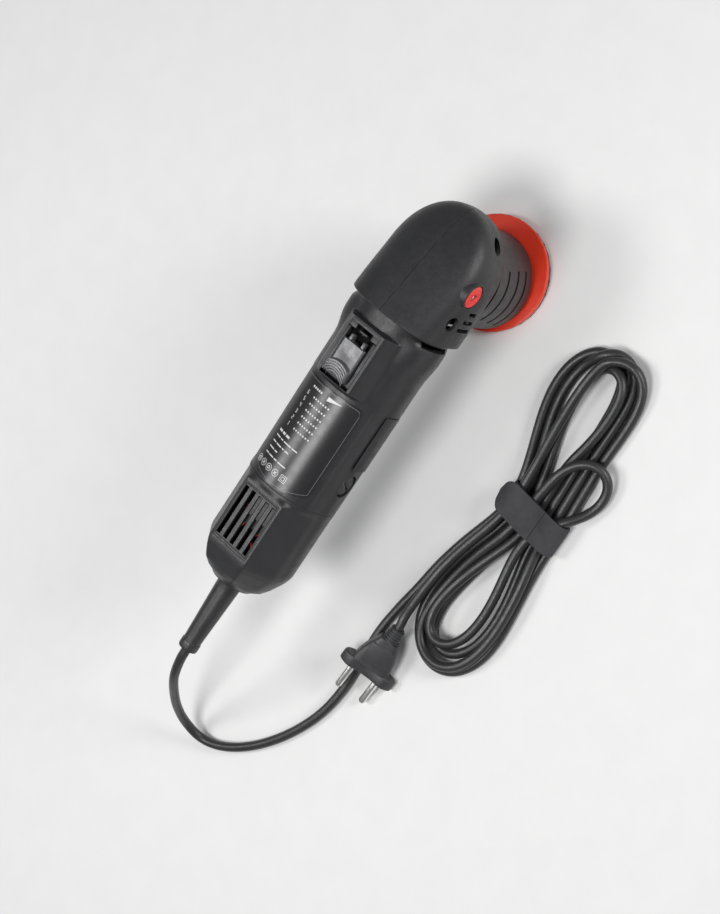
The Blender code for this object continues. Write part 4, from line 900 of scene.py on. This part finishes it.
def label_print():
    """Generic marks only: a wedge, six numbered bars, plain lines and simple signs."""
    marks = [print_bar(-0.099, -21 + 3.4 * k, -18.8 + 3.4 * k, 0.0013) for k in range(5)]
    wedge = [[(-0.0985, 4 + 18 * k / 14), (-0.0985 - 0.003 * (1 - k / 14) - 0.0001, 4 + 18 * k / 14)]
             for k in range(15)]
    marks.append(wrapped_strip(wedge, PRINT_LIFT, PRINT_THICK))
    for n in range(6):
        x = -0.104 - 0.0047 * n
        for ax, ay, bx, by in DIGIT_STROKES[6 - n]:
            marks.append(stroke(x - 0.0022 + 0.0006 * ay, ax - 24, x - 0.0022 + 0.0006 * by, bx - 24, 0.0003))
        for k in range(7):
            marks.append(print_bar(x - 0.0005, -12 + 3.7 * k, -10.2 + 3.7 * k, 0.0011))
    for n, (start, widths) in enumerate(((-30, (6, 5, 6)), (-30, (9, 4, 12, 8)), (-30, (7, 9, 3, 6)),
                                         (-30, (10, 5)), (-30, (6, 8, 5, 12)))):
        x, d = -0.1345 - 0.0042 * n, start
        for w in widths:
            marks.append(print_bar(x, d, d + w, 0.0015 if n == 0 else 0.0008))
            d += w + 1.8
    for k, d in enumerate((-33, -22.5, -12, -1)):
        x = -0.158
        marks += print_ring(x, d, 0.0022, 0.00032)
        if k % 2:
            marks.append(stroke(x + 0.0008, d - 1.4, x - 0.0008, d + 1.4, 0.0005))
            marks.append(stroke(x - 0.0008, d - 1.4, x + 0.0008, d + 1.4, 0.0005))
        else:
            marks += print_ring(x, d, 0.0009, 0.0005, 12)
    for size in (0.003, 0.0015):
        marks += print_ring(-0.158, 11, size, 0.00035, 4, pi / 4)
    piece("label_marks", add(*marks), PRINT)


# ---- strain relief, plug and tie ----
def relief():
    profile = [(0.01, -0.2358), (0.01, -0.2388), (0.0083, -0.239), (0.0083, -0.2417), (0.0094, -0.242),
               (0.0096, -0.2424), (0.0094, -0.2429), (0.0086, -0.2433), (0.0082, -0.245)]
    profile += [(0.0082 - 0.002 * s, -0.245 - 0.045 * s) for s in spaced(0.1, 1.0, 9)]
    profile += [(0.0062, -0.2912), (0.0066, -0.2916), (0.0067, -0.2924), (0.0067, -0.2962), (0.0064, -0.2973),
                (0.0058, -0.2975), (0.0036, -0.2975), (0.0035, -0.29), (0.0035, -0.2358)]
    mesh = revolved(profile, "X", ON_AXIS, 96, closed=True)
    return piece("cord_sleeve", add(mesh), CORD, ["strain_relief"])


PLUG_AT = Vector((-0.254, -0.0845, 0.0105))
PLUG_TURN = (Matrix.Rotation(radians(175), 4, "Z") @ Matrix.Rotation(radians(5), 4, "Y")
             @ Matrix.Rotation(radians(-25), 4, "X"))


def plug():
    """A flat two-pin plug: a flange with a lobe at each end, a waisted grip and a ribbed tail."""
    def flange_ring(x, grow):
        ring = []
        for i in range(72):
            a = 2 * pi * i / 72
            y, z = cos(a), sin(a)
            half = 0.0198 + grow
            side = signed_power(y, 0.75) * half
            lobe = exp(-((abs(side) - 0.0134) / 0.006) ** 2)
            thick = 0.0044 + 0.0028 * lobe + grow
            ring.append((x, side, signed_power(z, 0.72) * thick))
        return ring
    bm = bmesh.new()
    loft(bm, [flange_ring(x, grow) for x, grow in ((0.0, -0.0008), (-0.0004, -0.0002), (-0.0012, 0.0),
                                                   (-0.006, 0.0), (-0.0072, -0.0003), (-0.0078, -0.001))])
    flange = fresh(bm)
    bm = bmesh.new()
    grip = []
    for x, half, thick in ((-0.007, 0.0138, 0.006), (-0.011, 0.0132, 0.0062), (-0.017, 0.012, 0.0061),
                           (-0.023, 0.0098, 0.0059), (-0.027, 0.008, 0.0057), (-0.03, 0.0066, 0.0055),
                           (-0.0302, 0.0058, 0.0052)):
        grip.append([(x, signed_power(cos(a), 0.42) * half, signed_power(sin(a), 0.42) * thick)
                     for a in (2 * pi * (i + 0.5) / 64 for i in range(64))])
    loft(bm, grip)
    body = fresh(bm)
    profile = [(0.005, -0.029)]
    for k in range(5):
        x, thinner = -0.0305 - 0.0019 * k, 0.0001 * k
        profile += [(0.0053 - thinner, x), (0.0053 - thinner, x - 0.0011), (0.0047 - thinner, x - 0.0012),
                    (0.0047 - thinner, x - 0.0018)]
    profile += [(0.0046, -0.04), (0.0034, -0.0401)]
    tail = revolved(profile, "X", (0, 0, 0), 48)
    pads = [block((-0.025, -0.0085, z - 0.0006), (-0.01, 0.0085, z + 0.0006), 0.0005)
            for z in (-0.0058, 0.0058)]
    collars = [revolved(((0.0035, -0.001), (0.0035, 0.0006), (0.0031, 0.0009), (0.0026, 0.0009)), "X",
                        (0, y, 0), 40) for y in (-0.0095, 0.0095)]
    mesh = add(flange, body, tail, *pads, *collars)
    mesh.transform(Matrix.Translation(PLUG_AT) @ PLUG_TURN)
    for v in mesh.vertices:
        v.co.z = max(v.co.z, 0.0002)
    return piece("plug_grip", mesh, PLUG, ["plug_body"])


def strap(half_y, low, high, wide, skew):
    """A soft band round the bundle: a flattened loop, a little wider where it swells."""
    bm = bmesh.new()
    rings = []
    count = 96
    for i in range(count):
        a = 2 * pi * i / count
        y, z = cos(a), sin(a)
        oy = signed_power(y, 0.5) * half_y
        oz = signed_power(z, 0.62 if z > 0 else 0.35)
        centre = (low + high) / 2
        top = (high - centre) * (1 - 0.1 * cos(5 * oy / half_y) * (z > 0))
        oz = centre + oz * (top if z > 0 else centre - low)
        normal = Vector((0, y, z)).normalized()
        x = TIE_X + skew * oy
        swell = 0.0003 * sin(7 * a + 1.3)
        ring = []
        for dx, out in ((-wide, -0.0005), (-wide, 0.0003), (-wide + 0.0006, 0.0007),
                        (-wide * 0.5, 0.00075 + swell), (0, 0.0008 + swell), (wide * 0.5, 0.00075 + swell),
                        (wide - 0.0006, 0.0007), (wide, 0.0003), (wide, -0.0005)):
            p = Vector((x + dx, TIE_Y + oy, oz)) + normal * out
            p.z = max(p.z, 0.0002)
            ring.append(p)
        rings.append(ring)
    loft(bm, rings, closed=True)
    return fresh(bm)


def tie():
    """The band, and its free end laid over the top."""
    half_width, skew = 0.0108, 0.1
    band = strap(0.0226, 0.001, 0.0156, half_width, skew)
    tongue = []
    bm = bmesh.new()
    for i in range(25):
        s = i / 24
        y = -0.0905 - 0.0345 * s
        half = half_width * sqrt(max(0.0, 1 - max(0.0, (0.3 - s) / 0.3) ** 2.4)) + 0.0002
        z = 0.0178 - 0.0042 * max(0.0, 1 - s / 0.25) ** 2 - 0.0008 * max(0.0, (s - 0.8) / 0.2) ** 2
        x = TIE_X + skew * (y - TIE_Y)
        tongue.append([(x - half, y, z - 0.001), (x - half, y, z), (x - half * 0.5, y, z + 0.0003),
                       (x + half * 0.5, y, z + 0.0003), (x + half, y, z), (x + half, y, z - 0.001)])
    loft(bm, tongue)
    return piece("tie_strap", add(band, fresh(bm)), TIE, ["cord_tie"])


def button_rings():
    half, foot, top = 0.0003, -0.0354, -0.0358
    parts = [revolved(((r + half, foot), (r + half, top), (r - half, top), (r - half, foot)),
                      "Y", ON_LOCK, 56, closed=True) for r in (0.0062, 0.0044, 0.0028)]
    piece("button_rings", add(*parts), BUTTON, body="lock")


def lock_coil():
    """The spring under the lock button."""
    bm = bmesh.new()
    turns, around, wire, radius = 3, 20, 0.00035, 0.0043
    outer_y, inner_y = -0.0325, -0.0271
    rings = []
    for i in range(turns * around + 1):
        a = 2 * pi * i / around
        out = Vector((cos(a), 0, sin(a)))
        centre = Vector((0, outer_y + (inner_y - outer_y) * i / (turns * around), LOCK_Z)) + radius * out
        rings.append([centre + wire * (cos(t) * out + sin(t) * Vector((0, 1, 0)))
                      for t in (2 * pi * k / 8 for k in range(8))])
    loft(bm, rings)
    coil = piece("lock_coil", add(fresh(bm)), STEEL, ["lock_spring"])
    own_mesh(coil)


def inner_glimpses():
    """In the grille: a fill across part of three slots, and two red wires behind."""
    top = AXIS_Z + GRILLE_UP - 0.0003
    fills = [block((-0.19, 0.006 * k - 0.00125, 0.1058), (-0.1768, 0.006 * k + 0.00125, top), 0.0002)
             for k in (-2, -1, 0)]
    piece("slot_screens", add(*fills), COVER)
    routes = (mm((-211, 7, 96), (-205, 6, 101), (-198, 3, 101.5), (-193, 8, 99), (-190, 11, 95)),
              mm((-213, -9, 95), (-208, -10, 101), (-202, -7, 102), (-197, -11, 99), (-193, -12, 94)))
    for k, route in enumerate(routes, 1):
        curve = line_curve("wire", even(route, 0.0012), 0.0008, 3)
        piece(f"inner_wire_{k}", curve, WIRE_RED)


# ---- the floor and the light ----
def stage():
    bm = bmesh.new()
    bmesh.ops.create_grid(bm, x_segments=1, y_segments=1, size=4.0)
    mesh = bpy.data.meshes.new("floor")
    bm.to_mesh(mesh)
    bm.free()
    floor = link(bpy.data.objects.new("floor", mesh))
    paper = finish("floor_paper", (0.8, 0.8, 0.79), 0.75, tone=0.01, rough_spread=0.03, edge=0)
    mesh.materials.append(paper)
    world = bpy.data.worlds.new("studio")
    world.use_nodes = True
    sky = world.node_tree.nodes["Background"]
    sky.inputs["Color"].default_value = (0.95, 0.96, 1.0, 1.0)
    sky.inputs["Strength"].default_value = 0.24
    bpy.context.scene.world = world
    middle = Vector((-0.12, -0.04, 0.05))
    for name, at, size, watts in (("key", (-0.45, -0.16, 1.35), 0.5, 9.0),
                                  ("side", (0.7, -0.85, 0.55), 0.45, 7.5),
                                  ("back", (-0.5, 0.6, 1.2), 0.45, 5.5)):
        data = bpy.data.lights.new(name, "AREA")
        data.shape, data.size, data.energy = "DISK", size, watts
        lamp = link(bpy.data.objects.new(name, data))
        lamp.location = at
        lamp.rotation_euler = (Vector(at) - middle).to_track_quat("Z", "Y").to_euler()


bpy.context.scene.view_settings.view_transform = "Standard"
place_camera()
dress_frame()
head_covers()
screw_posts()
motor_shell()
tail_shell()
shroud_shell()
switch()
label()
label_print()
button_rings()
lock_coil()
inner_glimpses()
sleeve = relief()
plug_grip = plug()
tie_strap = tie()
cord = mains_cord()
stage()
